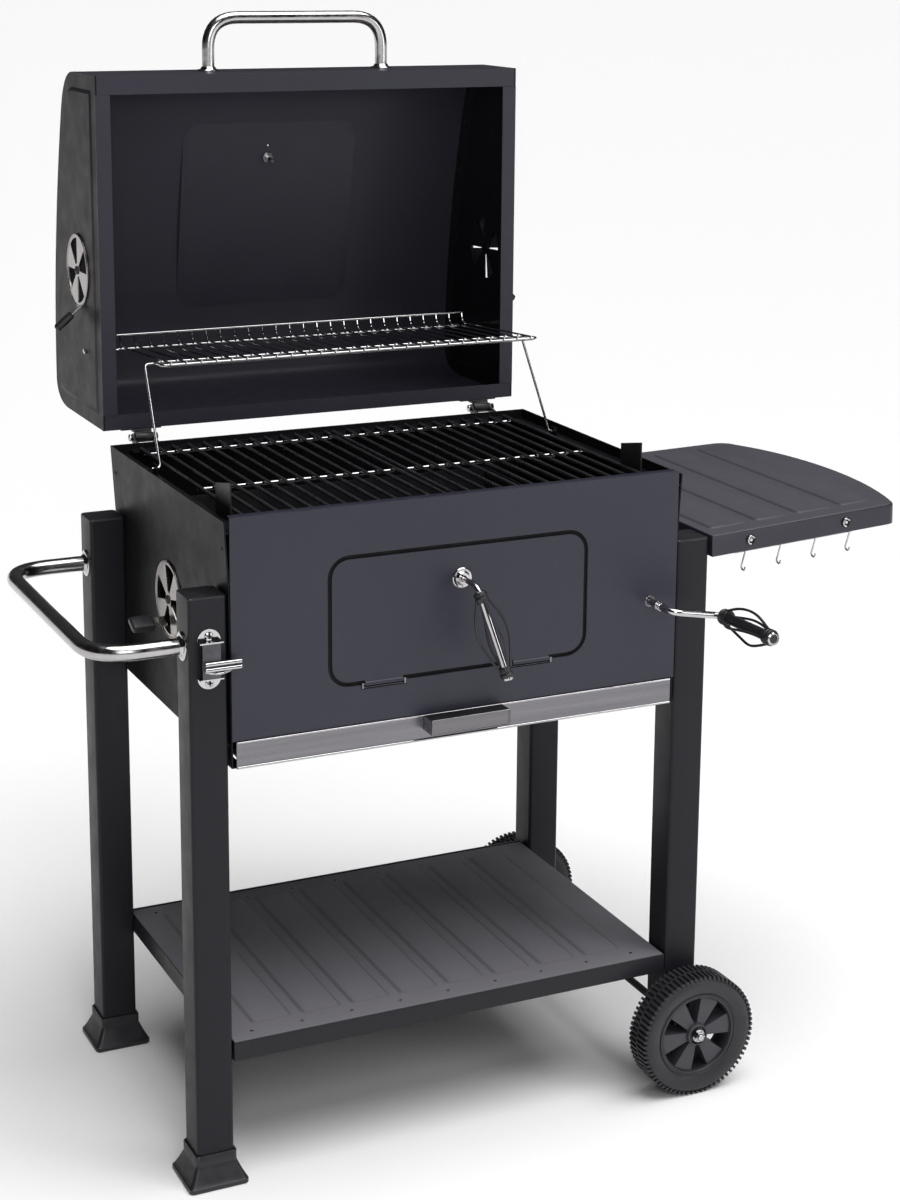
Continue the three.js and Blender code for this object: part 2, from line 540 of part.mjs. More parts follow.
// The rail runs behind the front lip, parallel to it, and hangs from two studs through the lip.
const railPoint = (x) => v3(x, frontLipY(x) + rail.back, tableSurface(x) - rail.below);
function hookRail() {
  const studs = railEnds.map((x) => {
    const z = tableSurface(x) - rail.stub;
    const outside = v3(x, frontLipY(x) - 4, z);
    const stud = bentBar([outside, railPoint(x).setZ(z), railPoint(x)], rail.radius, 4, 6, 3);
    return join(stud, bar(outside, v3(x, frontLipY(x) - 1, z), 5, 12));
  });
  const rod = bar(railPoint(railEnds[0] - rail.overhang), railPoint(railEnds[1] + rail.overhang),
    rail.radius, 6);
  return join(rod, ...studs);
}
add('hook_rail', hookRail(), chrome());

// An S-shaped hook: over the rail at the top and open to the front at the bottom.
function utensilHook(x) {
  const { loop, drop, mouth, wire, count } = hook;
  const { y, z } = railPoint(x);
  const arc = (cz, radius, start, end, steps = 5) => Array.from({ length: steps + 1 }, (_, i) => {
    const angle = THREE.MathUtils.degToRad(start + ((end - start) * i) / steps);
    return v3(x, y + radius * Math.cos(angle), cz + radius * Math.sin(angle));
  });
  return roundBar([...arc(z, loop, -20, 180), ...arc(z - drop, mouth, 0, -190)], wire, 6);
}
for (let i = 0; i < hook.count; i += 1) {
  add(`utensil_hook_${i + 1}`, utensilHook(hook.first + hook.pitch * i), chrome());
}

// ---------------------------------------------------------------- cooking grates
function cookingGrate(side) {
  const { inner, outer, front, rear, top, rod, rods, ties } = grate;
  const span = (a, b) => ascending(side * a, side * b);
  const pitch = (outer - inner - rod) / (rods - 1);
  const bars = Array.from({ length: rods }, (_, i) => {
    const x = inner + pitch * i;
    return block(span(x, x + rod), [front, rear], [top - rod, top]);
  });
  const crossbars = ties.map((y) =>
    block(span(inner, outer), [y, y + rod], [top - 2 * rod + 0.5, top - rod + 0.5]));
  return join(...bars, ...crossbars);
}
for (const [name, side] of Object.entries(sides)) {
  add(`cooking_grate_${name}`, cookingGrate(side), enamel());
}

// ---------------------------------------------------------------- lid
// The lid's side profile: straight walls, rounded shoulders and a bowed roof, as it stands open.
function lidOutline(inset) {
  const { open, bottom, top } = lid;
  const { heelY, y, low, bowZ, eaveY, eaveZ, crownY } = lidBack;
  const shape = new THREE.Shape();
  shape.moveTo(open, bottom + inset);
  shape.lineTo(heelY, bottom + inset);
  shape.quadraticCurveTo(y - 3 - inset, bottom + 3 + inset, y - inset, low);
  shape.quadraticCurveTo(y - inset, bowZ, eaveY - inset, eaveZ);
  shape.quadraticCurveTo(eaveY - 16 - inset, top - inset, crownY, top - inset);
  shape.lineTo(open, top - inset);
  return shape.getPoints(6);
}

// The point of the roof at the gauge, and its outward direction.
const roof = (() => {
  const { y, low, bowZ, eaveY, eaveZ } = lidBack;
  const curve = new THREE.QuadraticBezierCurve(v2(y, low), v2(y, bowZ), v2(eaveY, eaveZ));
  const t = Array.from({ length: 101 },
    (_, i) => i / 100).find((share) => curve.getPoint(share).y >= gauge.z);
  const [point, tangent] = [curve.getPoint(t), curve.getTangent(t)];
  const outward = v3(0, tangent.y, -tangent.x);
  const at = (distance) => v3(0, point.x, point.y).addScaledVector(outward, distance);
  return { at, outward };
})();

function lidWrapper() {
  const { open, bottom, top, lip, topLip, half } = lid;
  const inner = lidOutline(sheet).reverse().slice(1, -1);
  const outline = [...lidOutline(0), v2(open, top - topLip), v2(open + sheet, top - topLip),
    v2(open + sheet, top - sheet),
    ...inner, v2(open + sheet, bottom + sheet), v2(open + sheet, bottom + lip), v2(open, bottom + lip)];
  const reach = half - sheet - gap;
  return cut(slab('yz', outline, -reach, reach), bar(roof.at(-10), roof.at(10), gauge.stem + gap, 12));
}
add('lid_wrapper', lidWrapper(), anthracite());

function lidEnd(side) {
  const { half, lip, topLip, open, bottom, top } = lid;
  const span = (a, b) => ascending(side * (half - a), side * (half - b));
  const plate = slab('yz', lidOutline(0), ...span(sheet, 0), ventSlots(lidVent));
  const flange = block(span(lip, 1), [open, open + sheet], [bottom + lip + gap, top - topLip - gap]);
  const bores = [[lidVent.y, lidVent.z, 3.3], [rackPivot.y, rackPivot.z, rack.wire / 2 + 0.5]];
  const holes = bores.map(([y, z, radius]) =>
    bar(v3(side * (half - 20), y, z), v3(side * (half + 5), y, z), radius, 12));
  return cut(join(plate, flange), ...holes);
}
for (const [name, side] of Object.entries(sides)) {
  add(`lid_end_${name}`, lidEnd(side), anthracite());
}

function lidHandleTube() {
  const { half, y, rise, bend, radius } = lidHandle;
  const [z0, z1] = [lid.top + gap, lid.top + rise];
  const tube = bentBar([v3(-half, y, z0), v3(-half, y, z1), v3(half, y, z1), v3(half, y, z0)], radius, bend,
    10);
  const feet = [-half, half].map((x) => bar(v3(x, y, z0), v3(x, y, z0 + 5), 14, 16));
  return join(tube, ...feet);
}
add('lid_handle', lidHandleTube(), stainless());

// From the probe's tip inside, out through the nut, the stem and the round housing to the dial's face.
function thermometer() {
  const { radius, depth, stem, nut: nutRadius } = gauge;
  const profile = [[0, -24], [3, -24], [3, -9], [nutRadius, -9], [nutRadius, -3.2], [stem, -3.2], [stem, 1.5],
    [radius - 2, 1.5], [radius, 3], [radius, depth - 2], [radius - 3, depth], [radius - 5, depth - 2],
      [0, depth - 2]];
  return turned(profile, roof.at(0), roof.outward);
}
add('thermometer', thermometer(), chrome());

for (const [name, side] of Object.entries(sides)) {
  add(`lid_vent_${name}`, ventDisc(side, side * lid.half, lidVent, side > 0 ? vent.shut : 0), chrome());
  add(`firebox_vent_${name}`, ventDisc(side, side * (box.half + 1.2), boxVent, 0), chrome());
}

// ---------------------------------------------------------------- lid hinges
for (const [name, side] of Object.entries(sides)) {
  const { y, z, pin, half, knuckle, leafHalf, leafBottom } = hinge;
  const cx = side * hinge.x;
  const through = (reach, radius) => bar(v3(cx - reach, y, z), v3(cx + reach, y, z), radius, 16);
  const strap = block([cx - half, cx + half], [y, y + 16], [z + 6, lid.bottom - gap]);
  const flap = block([cx - leafHalf, cx + leafHalf], [y + 8, y + 45],
    [lid.bottom - gap - 1.8, lid.bottom - gap]);
  const lidLeaf = cut(join(through(half, knuckle), strap, flap), through(half + 1, pin + gap));
  add(`lid_hinge_leaf_${name}`, lidLeaf, darkCoat());
  const face = box.depth + gap;
  const lug = [v2(face, leafBottom), v2(y, z - 7), v2(y + 6.5, z - 3), v2(y + 6.5, z + 3), v2(y, z + 6),
    v2(y - 7, z),
    v2(face, z - 4)];
  const lugs = [-half - 3.4, half + 1].map((x) => slab('yz', lug, cx + x, cx + x + 2.4));
  const plate = block([cx - leafHalf, cx + leafHalf], [face, face + 2], [leafBottom, z - 4]);
  add(`body_hinge_leaf_${name}`, join(plate, ...lugs, through(half + 6, pin)), darkCoat());
}

// ---------------------------------------------------------------- warming rack and its two struts
const strutHead = v3(strutFoot.x, strutFoot.y + rackPivot.y - hinge.y, strutFoot.z + rackPivot.z - hinge.z);
function warmingRack() {
  const { half, depth, rise, fence, wire, wires } = rack;
  const r = wire / 2;
  const frontY = rackPivot.y - depth;
  const slope = rise / depth;
  const level = (y) => rackPivot.z + slope * (rackPivot.y - y);
  const pitch = (2 * half - wire) / (wires - 1);
  const rods = Array.from({ length: wires }, (_, i) => {
    const x = -half + pitch * i;
    const outline = [v2(frontY - r, level(frontY) - r), v2(rackPivot.y + r, rackPivot.z - r),
      v2(rackPivot.y + r, rackPivot.z + fence + r), v2(rackPivot.y - r, rackPivot.z + fence + r),
      v2(rackPivot.y - r, rackPivot.z + r), v2(frontY - r, level(frontY) + r)];
    return slab('yz', outline, x, x + wire);
  });
  const across = (y, z) => block([-half, half], [y - r, y + r], [z - r, z + r]);
  const rails = [frontY, frontY + 38, strutHead.y].map((y) => across(y, level(y)));
  const fenceTop = across(rackPivot.y, rackPivot.z + fence);
  const pivot = [-1, 1].map((side) => v3(side * (lid.half - 0.5), rackPivot.y, rackPivot.z));
  return join(...rods, ...rails, fenceTop, bar(...pivot, r, 8));
}
add('warming_rack', warmingRack(), chrome());

// Each strut stands on a pin in the firebox bracket and stops short of the rack: that joint is left open.
for (const [name, side] of Object.entries(sides)) {
  const { x, y, z } = strutFoot;
  const head = v3(side * 268.5, strutHead.y - 1, strutHead.z - 1);
  const wire = bentBar([v3(side * (x + 10), y, z), v3(side * x, y, z), head], rack.wire / 2, 3, 8, 3);
  add(`rack_strut_${name}`, wire, chrome());
}

// The origin is the middle of the whole object's box, on the ground.
const bounds = new THREE.Box3().setFromObject(grill);
const middle = bounds.getCenter(new THREE.Vector3());
grill.position.set(-middle.x, -middle.y, -bounds.min.z);

export default grill;
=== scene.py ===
"""Charcoal grill cart with its lid open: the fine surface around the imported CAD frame.

Shapes are made in millimetres on the cart: x from the middle of the front plate, towards the wheels;
y from the plate's face, towards the back; z up from the ground. Pieces are turned into metres in the
frame as they are made.
"""
import math

import bpy
from mathutils import Matrix, Vector
from mathutils.geometry import tessellate_polygon


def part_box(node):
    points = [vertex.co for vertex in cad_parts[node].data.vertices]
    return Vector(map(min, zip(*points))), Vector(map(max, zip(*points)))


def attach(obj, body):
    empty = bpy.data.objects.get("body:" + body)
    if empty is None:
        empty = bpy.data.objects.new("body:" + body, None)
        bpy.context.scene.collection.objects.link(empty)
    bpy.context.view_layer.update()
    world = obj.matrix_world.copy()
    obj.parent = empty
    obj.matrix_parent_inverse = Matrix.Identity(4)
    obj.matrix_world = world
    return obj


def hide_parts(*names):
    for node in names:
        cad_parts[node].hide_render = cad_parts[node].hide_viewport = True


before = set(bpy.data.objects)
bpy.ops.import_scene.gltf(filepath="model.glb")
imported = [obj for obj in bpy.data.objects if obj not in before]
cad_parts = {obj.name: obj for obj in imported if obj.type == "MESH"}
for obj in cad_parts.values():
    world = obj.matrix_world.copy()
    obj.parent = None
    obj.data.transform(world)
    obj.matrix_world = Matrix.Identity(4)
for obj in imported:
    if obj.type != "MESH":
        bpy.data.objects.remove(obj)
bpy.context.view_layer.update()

MM = 0.001
panel_low, panel_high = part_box("front_panel")
ORIGIN = Vector(((panel_low.x + panel_high.x) / 2, panel_low.y, 0.0))
SIDES = {"left": -1, "right": 1}
# The sheets' thickness, the gap between close pieces, and the steps in a turned-down or pressed edge.
SHEET, HAIR, CURVE_STEPS = 2.0, 0.3, 4

CAMERA_PLACE = Vector((-1144.8, -2383.2, 1487.2))
CAMERA_YAW, CAMERA_PITCH, CAMERA_ROLL = map(math.radians, (25.24, 12.26, 0.43))
LENS, SENSOR = 67.74, 36
SHIFT_RIGHT, SHIFT_UP = 0.0008, -0.138

BRIGHT_SIDE = Vector((0.5, 0.8, 0.33)).normalized()
DIM_LIGHT, BRIGHT_LIGHT = 0.3, 1.15
SUN_POWER, KEY_POWER, FILL_POWER = 3.4, 40, 22
FLOOR_SIZE = 400

BUMP_DEPTH = 0.0004
# The pale colour mixed onto upward faces: a painted sheen that stands in for the light they reflect.
PAINTED_SHEEN_COLOUR = (0.34, 0.33, 0.36, 1)


class Span:
    """A CAD node's box on the cart, in millimetres."""

    def __init__(self, node):
        low, high = ((corner - ORIGIN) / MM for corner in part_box(node))
        self.x0, self.y0, self.z0 = low
        self.x1, self.y1, self.z1 = high
        self.mid = (low + high) / 2


# ---------------- camera, floor and lights
def make_camera():
    """The camera looks ahead along its yaw and pitch, and is rolled about that line."""
    flat = math.cos(CAMERA_PITCH)
    ahead = Vector((math.sin(CAMERA_YAW) * flat, math.cos(CAMERA_YAW) * flat, -math.sin(CAMERA_PITCH)))
    level = ahead.cross(Vector((0, 0, 1))).normalized()
    upright = level.cross(ahead)
    right = math.cos(CAMERA_ROLL) * level + math.sin(CAMERA_ROLL) * upright
    up = math.cos(CAMERA_ROLL) * upright - math.sin(CAMERA_ROLL) * level
    camera = bpy.data.objects.new("camera", bpy.data.cameras.new("camera"))
    camera.data.lens = LENS
    camera.data.sensor_width = SENSOR
    camera.data.shift_x = SHIFT_RIGHT
    camera.data.shift_y = SHIFT_UP
    turn = Matrix((right, up, -ahead)).transposed().to_4x4()
    camera.matrix_world = Matrix.Translation(ORIGIN + CAMERA_PLACE * MM) @ turn
    bpy.context.scene.collection.objects.link(camera)
    bpy.context.scene.camera = camera


def area_light(name, place, aim, size, power):
    """A rectangular light that faces a point; the place, the aim and the size are in metres."""
    light = bpy.data.lights.new(name, "AREA")
    light.shape = "RECTANGLE"
    light.size, light.size_y = size
    light.energy = power
    lamp = bpy.data.objects.new(name, light)
    lamp.location = place
    lamp.rotation_euler = (Vector(aim) - Vector(place)).to_track_quat("-Z", "Y").to_euler()
    bpy.context.scene.collection.objects.link(lamp)


def make_studio():
    """A pale floor, a soft sun above, two area lights in front and a world that is brighter on one side."""
    bpy.ops.mesh.primitive_plane_add(size=FLOOR_SIZE)
    floor = bpy.context.object
    floor.name = "floor"
    floor.data.materials.append(plain_material("floor_paper", (0.93, 0.93, 0.93), 0.9))
    world = bpy.data.worlds.new("studio")
    world.use_nodes = True
    nodes, links = world.node_tree.nodes, world.node_tree.links
    direction = nodes.new("ShaderNodeTexCoord")
    towards = nodes.new("ShaderNodeVectorMath")
    towards.operation = "DOT_PRODUCT"
    towards.inputs[1].default_value = BRIGHT_SIDE
    level = nodes.new("ShaderNodeMapRange")
    level.inputs["From Min"].default_value = 0.35
    level.inputs["To Min"].default_value = DIM_LIGHT
    level.inputs["To Max"].default_value = BRIGHT_LIGHT
    links.new(direction.outputs["Generated"], towards.inputs[0])
    links.new(towards.outputs["Value"], level.inputs["Value"])
    links.new(level.outputs["Result"], nodes["Background"].inputs["Strength"])
    bpy.context.scene.world = world
    sun = bpy.data.lights.new("overhead", "SUN")
    sun.energy = SUN_POWER
    sun.angle = math.radians(60)
    lamp = bpy.data.objects.new("overhead", sun)
    lamp.rotation_euler = (math.radians(10), math.radians(10), 0)
    bpy.context.scene.collection.objects.link(lamp)
    area_light("key", (-1.1, -3.6, 2.4), (0, 0, 0.75), (1.6, 1.8), KEY_POWER)
    area_light("fill", (2.4, -3.0, 1.6), (0, 0, 0.6), (1.0, 2.2), FILL_POWER)
    bpy.context.scene.view_settings.view_transform = "Standard"


# ---------------- materials
def plain_material(name, colour, roughness, metallic=0.0):
    material = bpy.data.materials.new(name)
    material.use_nodes = True
    shader = material.node_tree.nodes["Principled BSDF"]
    shader.inputs["Base Color"].default_value = (*colour, 1)
    shader.inputs["Roughness"].default_value = roughness
    shader.inputs["Metallic"].default_value = metallic
    return material


def surface(name, colour, roughness, metallic=0.0, *, tone, grain, tone_scale=5.0, gloss=0.08,
            gloss_scale=40.0, stretch=(1, 1, 1), painted_sheen=0.0, **sockets):
    """A procedural finish: colour and roughness wander by tone and gloss.

    Grain is the scale and strength of the fine bump. One argument gives the share of a pale painted sheen
    mixed onto faces that look upwards, in place of the light that they reflect."""
    material = plain_material(name, colour, roughness, metallic)
    nodes, links = material.node_tree.nodes, material.node_tree.links
    shader = nodes["Principled BSDF"]
    for socket, value in sockets.items():
        shader.inputs[socket.replace("_", " ")].default_value = value
    place = nodes.new("ShaderNodeTexCoord")
    mapping = nodes.new("ShaderNodeMapping")
    mapping.inputs["Scale"].default_value = stretch
    links.new(place.outputs["Object"], mapping.inputs["Vector"])

    def noise(scale, detail):
        texture = nodes.new("ShaderNodeTexNoise")
        texture.inputs["Scale"].default_value = scale
        texture.inputs["Detail"].default_value = detail
        links.new(mapping.outputs["Vector"], texture.inputs["Vector"])
        return texture.outputs["Fac"]

    def ramp(value, low, high):
        span = nodes.new("ShaderNodeMapRange")
        span.inputs["From Min"].default_value = 0.3
        span.inputs["From Max"].default_value = 0.7
        span.inputs["To Min"].default_value = low
        span.inputs["To Max"].default_value = high
        links.new(value, span.inputs["Value"])
        return span.outputs["Result"]

    shade = nodes.new("ShaderNodeHueSaturation")
    shade.inputs["Color"].default_value = (*colour, 1)
    links.new(ramp(noise(tone_scale, 3), 1 - tone, 1 + tone), shade.inputs["Value"])
    colour_out = shade.outputs["Color"]
    # Painted sheen: faces that look upwards are mixed towards a pale colour in place of the light they
    # reflect.
    if painted_sheen:
        upwards = nodes.new("ShaderNodeSeparateXYZ")
        links.new(place.outputs["Normal"], upwards.inputs["Vector"])
        painted_sheen_share = nodes.new("ShaderNodeMapRange")
        painted_sheen_share.inputs["From Min"].default_value = 0.7
        painted_sheen_share.inputs["To Max"].default_value = painted_sheen
        links.new(upwards.outputs["Z"], painted_sheen_share.inputs["Value"])
        mix = nodes.new("ShaderNodeMix")
        mix.data_type = "RGBA"
        colours = {socket.name: socket for socket in mix.inputs if socket.type == "RGBA"}
        colours["B"].default_value = PAINTED_SHEEN_COLOUR
        links.new(painted_sheen_share.outputs["Result"], mix.inputs["Factor"])
        links.new(colour_out, colours["A"])
        colour_out = next(socket for socket in mix.outputs if socket.type == "RGBA")
    links.new(colour_out, shader.inputs["Base Color"])
    links.new(ramp(noise(gloss_scale, 4), roughness - gloss, roughness + gloss), shader.inputs["Roughness"])
    scale, strength = grain
    bump = nodes.new("ShaderNodeBump")
    bump.inputs["Strength"].default_value = strength
    bump.inputs["Distance"].default_value = BUMP_DEPTH
    links.new(noise(scale, 2), bump.inputs["Height"])
    links.new(bump.outputs["Normal"], shader.inputs["Normal"])
    return material


def coat(name, colour, roughness, reflection, painted_sheen=0.0):
    """Powder coat: an even finish with a fine grain."""
    return surface(name, colour, roughness, tone=0.07, gloss=0.05, grain=(700, 0.16), painted_sheen=painted_sheen,
                   Specular_IOR_Level=reflection)


def brushed(name, colour, tone):
    """Steel brushed along x."""
    return surface(name, colour, 0.28, 1.0, tone=tone, tone_scale=90, gloss=0.07, gloss_scale=160,
                   grain=(260, 0.14), stretch=(0.03, 1, 1))


def wheel_plastic(name, colour, roughness, tone, gloss):
    return surface(name, colour, roughness, tone=tone, gloss=gloss, gloss_scale=50, grain=(420, 0.3),
                   Specular_IOR_Level=0.35)


make_studio()
make_camera()

COAT = coat("anthracite_coat", (0.019, 0.019, 0.033), 0.38, 0.4)
# The table's upward faces get a pale painted sheen, standing in for the light they reflect at a grazing view.
TABLE_COAT = coat("table_coat", (0.020, 0.019, 0.030), 0.38, 0.4, painted_sheen=0.17)
# Painted shade: the anthracite coat darkened and dulled for the firebox walls, which stand in the legs'
# shadow.
SHADED_WALL_COAT = coat("wall_coat_painted_shade", (0.006, 0.0058, 0.007), 0.44, 0.12)
# Painted shade: the coat darkened on the legs, for the light that falls off towards the ground.
SHADED_LEG_COAT = coat("leg_coat_painted_shade", (0.0125, 0.012, 0.016), 0.42, 0.2)
# The shelf under the firebox: the coat painted darker as shade, with a strong pale painted sheen on its top
# in place of reflected light.
SHADED_SHELF_COAT = coat("shelf_coat_painted_shade_and_sheen", (0.015, 0.014, 0.018), 0.36, 0.22, painted_sheen=0.5)
LID_COAT = coat("lid_coat", (0.030, 0.029, 0.041), 0.40, 0.25)
# Painted shade: the lid's coat darkened on its ends, which face away from the light.
SHADED_LID_END_COAT = coat("lid_end_coat_painted_shade", (0.011, 0.0105, 0.014), 0.42, 0.1)
DARK = surface("black_coat", (0.010, 0.010, 0.012), 0.45, tone=0.15, grain=(600, 0.2))
CHROME = surface("polished_chrome", (0.50, 0.49, 0.50), 0.12, 1.0, tone=0.08, tone_scale=25, gloss=0.05,
                 grain=(300, 0.03))
STEEL = brushed("brushed_steel", (0.19, 0.185, 0.20), 0.12)
SHADED_STEEL = brushed("shaded_steel", (0.17, 0.165, 0.17), 0.1)
TUBE = surface("polished_tube", (0.44, 0.43, 0.43), 0.20, 1.0, tone=0.08, tone_scale=40, gloss=0.07,
               gloss_scale=120, grain=(400, 0.06))
PLASTIC = surface("black_plastic", (0.012, 0.012, 0.015), 0.42, tone=0.12, gloss_scale=70, grain=(520, 0.3))
TYRE = wheel_plastic("wheel_plastic", (0.024, 0.024, 0.028), 0.42, 0.15, 0.1)
# The hub is the wheel's own plastic painted lighter: painted light against the shade in the wheel's recess.
LIGHTENED_HUB_PLASTIC = wheel_plastic("wheel_plastic_painted_lighter", (0.045, 0.044, 0.052), 0.38, 0.12, 0.08)
DISC = surface("plated_disc", (0.34, 0.32, 0.31), 0.24, 1.0, tone=0.1, tone_scale=40, grain=(300, 0.05))
# Chrome painted dark: the dark surroundings that chrome rods and the opener's bridge reflect, painted into
# the colour.
DARKENED_CHROME = surface("chrome_painted_dark", (0.09, 0.09, 0.10), 0.32, 0.85, tone=0.2, tone_scale=60, gloss=0.1,
                grain=(350, 0.15))
CAVITY = surface("shadow_black", (0.004, 0.004, 0.004), 0.9, tone=0.1, grain=(500, 0.1))
DIAL = surface("dial_white", (0.82, 0.82, 0.80), 0.45, tone=0.03, grain=(800, 0.03))
NEEDLE = surface("needle_red", (0.55, 0.03, 0.02), 0.4, tone=0.05, grain=(800, 0.03))
GLASS = surface("dial_glass", (0.97, 0.98, 0.98), 0.04, tone=0.02, gloss=0.02, grain=(300, 0.02),
                Transmission_Weight=1.0)


# ---------------- mesh making
def polar(radius, angle):
    return radius * math.cos(angle), radius * math.sin(angle)


def circle(radius, count):
    """Points at equal steps round a flat circle."""
    return [polar(radius, 2 * math.pi * k / count) for k in range(count)]


def mirrored(side, points):
    return [(side * x, y, z) for x, y, z in points]


def rounded(points, radius, steps):
    """The path with each corner between its ends replaced by an arc-like curve."""
    path = [Vector(points[0])]
    for before, corner, after in zip(points, points[1:], points[2:]):
        before, corner, after = map(Vector, (before, corner, after))
        start = corner + (before - corner).normalized() * radius
        end = corner + (after - corner).normalized() * radius
        for i in range(steps + 1):
            t = i / steps
            path.append(start * (1 - t) ** 2 + corner * 2 * t * (1 - t) + end * t * t)
    path.append(Vector(points[-1]))
    return path


def rounded_rectangle(cx, cy, half_width, half_height, radius, steps=6):
    outline = []
    for sx, sy, start in ((1, -1, -90), (1, 1, 0), (-1, 1, 90), (-1, -1, 180)):
        for i in range(steps + 1):
            u, v = polar(radius, math.radians(start + 90 * i / steps))
            outline.append((cx + sx * (half_width - radius) + u, cy + sy * (half_height - radius) + v))
    return outline


def inset(outline, distance):
    """The outline moved inwards, for an outline that runs anticlockwise."""
    moved = []
    for i, here in enumerate(outline):
        before, after = Vector(outline[i - 1]), Vector(outline[(i + 1) % len(outline)])
        here = Vector(here)
        first, second = (here - before).normalized(), (after - here).normalized()
        normals = Vector((-first.y, first.x)), Vector((-second.y, second.x))
        middle = (normals[0] + normals[1]).normalized()
        moved.append(tuple(here + middle * distance / max(middle.dot(normals[0]), 0.4)))
    return moved


def quadratic(a, b, c, steps):
    """A flat curve from a to c, pulled towards b."""
    curve = []
    for t in (i / steps for i in range(steps + 1)):
        curve.append(tuple(a[k] * (1 - t) ** 2 + b[k] * 2 * t * (1 - t) + c[k] * t * t for k in (0, 1)))
    return curve


def cubic(a, b, c, d, steps):
    """A flat curve from a to d, pulled towards b and then c."""
    curve = []
    for t in (i / steps for i in range(steps + 1)):
        curve.append(tuple(a[k] * (1 - t) ** 3 + 3 * b[k] * t * (1 - t) ** 2 + 3 * c[k] * t * t * (1 - t)
                           + d[k] * t ** 3 for k in (0, 1)))
    return curve


def round_corners(corners, radius, steps=5):
    """A closed flat outline with each corner replaced by a curve."""
    outline = []
    for i, corner in enumerate(corners):
        before, after = Vector(corners[i - 1]), Vector(corners[(i + 1) % len(corners)])
        here = Vector(corner)
        start = here + (before - here).normalized() * min(radius, (before - here).length * 0.45)
        end = here + (after - here).normalized() * min(radius, (after - here).length * 0.45)
        outline += quadratic(start, here, end, steps)
    return outline


class Shape:
    """Vertices and faces gathered from simple builders, in millimetres on the cart."""

    def __init__(self):
        self.points, self.faces = [], []

    def add(self, points, faces):
        start = len(self.points)
        self.points += [Vector(p) for p in points]
        self.faces += [[start + i for i in face] for face in faces]
        return self

    def rings(self, rings, cap_start=True, cap_end=True):
        """Joins rings of equal length; the caps are single flat faces."""
        count = len(rings[0])
        faces = []
        for r in range(len(rings) - 1):
            for i in range(count):
                j = (i + 1) % count
                faces.append([r * count + i, r * count + j, (r + 1) * count + j, (r + 1) * count + i])
        if cap_start:
            faces.append(list(reversed(range(count))))
        if cap_end:
            faces.append([(len(rings) - 1) * count + i for i in range(count)])
        return self.add([p for ring in rings for p in ring], faces)

    def tube(self, path, radius, sides, closed=False):
        """A round bar along a path; radius may be a function of the share of the way along."""
        path = [Vector(p) for p in path]
        size = radius if callable(radius) else (lambda share: radius)
        ahead = (path[1] - path[0]).normalized()
        normal = ahead.orthogonal().normalized()
        rings = []
        for i, here in enumerate(path):
            before = path[i - 1] if i or closed else here
            after = path[(i + 1) % len(path)] if i < len(path) - 1 or closed else here
            new = (after - before).normalized()
            normal = (ahead.rotation_difference(new) @ normal).normalized()
            ahead = new
            side = ahead.cross(normal)
            share = i / (len(path) - 1)
            rings.append([here + (normal * u + side * v) * size(share) for u, v in circle(1, sides)])
        if closed:
            rings.append(rings[0])
        return self.rings(rings, not closed, not closed)

    def lathe(self, profile, centre, axis, count=32):
        """A turned shape; its profile holds (radius, height) along the axis, from axis to axis or closed."""
        turn = Vector((0, 0, 1)).rotation_difference(Vector(axis)).to_matrix()
        centre = Vector(centre)
        rings = []
        for radius, height in profile:
            radius = max(radius, 0.01)
            rings.append([centre + turn @ Vector((u, v, height)) for u, v in circle(radius, count)])
        shut = profile[0] == profile[-1]
        return self.rings(rings, not shut, not shut)

    def box(self, low, high):
        (x0, y0, z0), (x1, y1, z1) = low, high
        ring = [(x0, y0), (x1, y0), (x1, y1), (x0, y1)]
        return self.rings([[(x, y, z) for x, y in ring] for z in (z0, z1)])

    def plate(self, outline, start, end, to_space, holes=()):
        """A flat outline with holes, pushed from one height to another.

        to_space turns (u, v, height) into a point."""
        loops = [list(outline), *map(list, holes)]
        flat = [Vector((u, v, 0)) for loop in loops for u, v in loop]
        triangles = tessellate_polygon([[Vector((u, v, 0)) for u, v in loop] for loop in loops])
        total = len(flat)
        faces = [list(t) for t in triangles] + [[total + i for i in reversed(t)] for t in triangles]
        first = 0
        for loop in loops:
            for i in range(len(loop)):
                a, b = first + i, first + (i + 1) % len(loop)
                faces.append([a, b, total + b, total + a])
            first += len(loop)
        return self.add([to_space(p.x, p.y, height) for height in (start, end) for p in flat], faces)

    def pan(self, outline, top, depth, to_space, fillet):
        """A sheet with its edges turned down: a filleted rim round a flat top, open below."""
        rings = []
        for i in range(CURVE_STEPS + 1):
            angle = math.radians(90 * i / CURVE_STEPS)
            drop = top - fillet * (1 - math.cos(angle))
            rings.append([(u, v, drop) for u, v in inset(outline, fillet * (1 - math.sin(angle)))])
        rings.append([(u, v, top - depth) for u, v in outline])
        rings.append([(u, v, top - depth) for u, v in inset(outline, SHEET)])
        rings.append([(u, v, top - fillet) for u, v in inset(outline, SHEET)])
        rings.append([(u, v, top - SHEET) for u, v in inset(outline, fillet + 0.5)])
        return self.rings([[to_space(*p) for p in ring] for ring in rings])

    def pressing(self, outline, base, height, slope, to_space):
        """A low pressed panel on a sheet: its edge rises in a smooth step of the given width."""
        rings = [[(u, v, base - 0.2) for u, v in outline]]
        for i in range(CURVE_STEPS + 1):
            share = i / CURVE_STEPS
            rise = height * (3 * share ** 2 - 2 * share ** 3)
            rings.append([(u, v, base + rise) for u, v in inset(outline, slope * share)])
        return self.rings([[to_space(*p) for p in ring] for ring in rings])


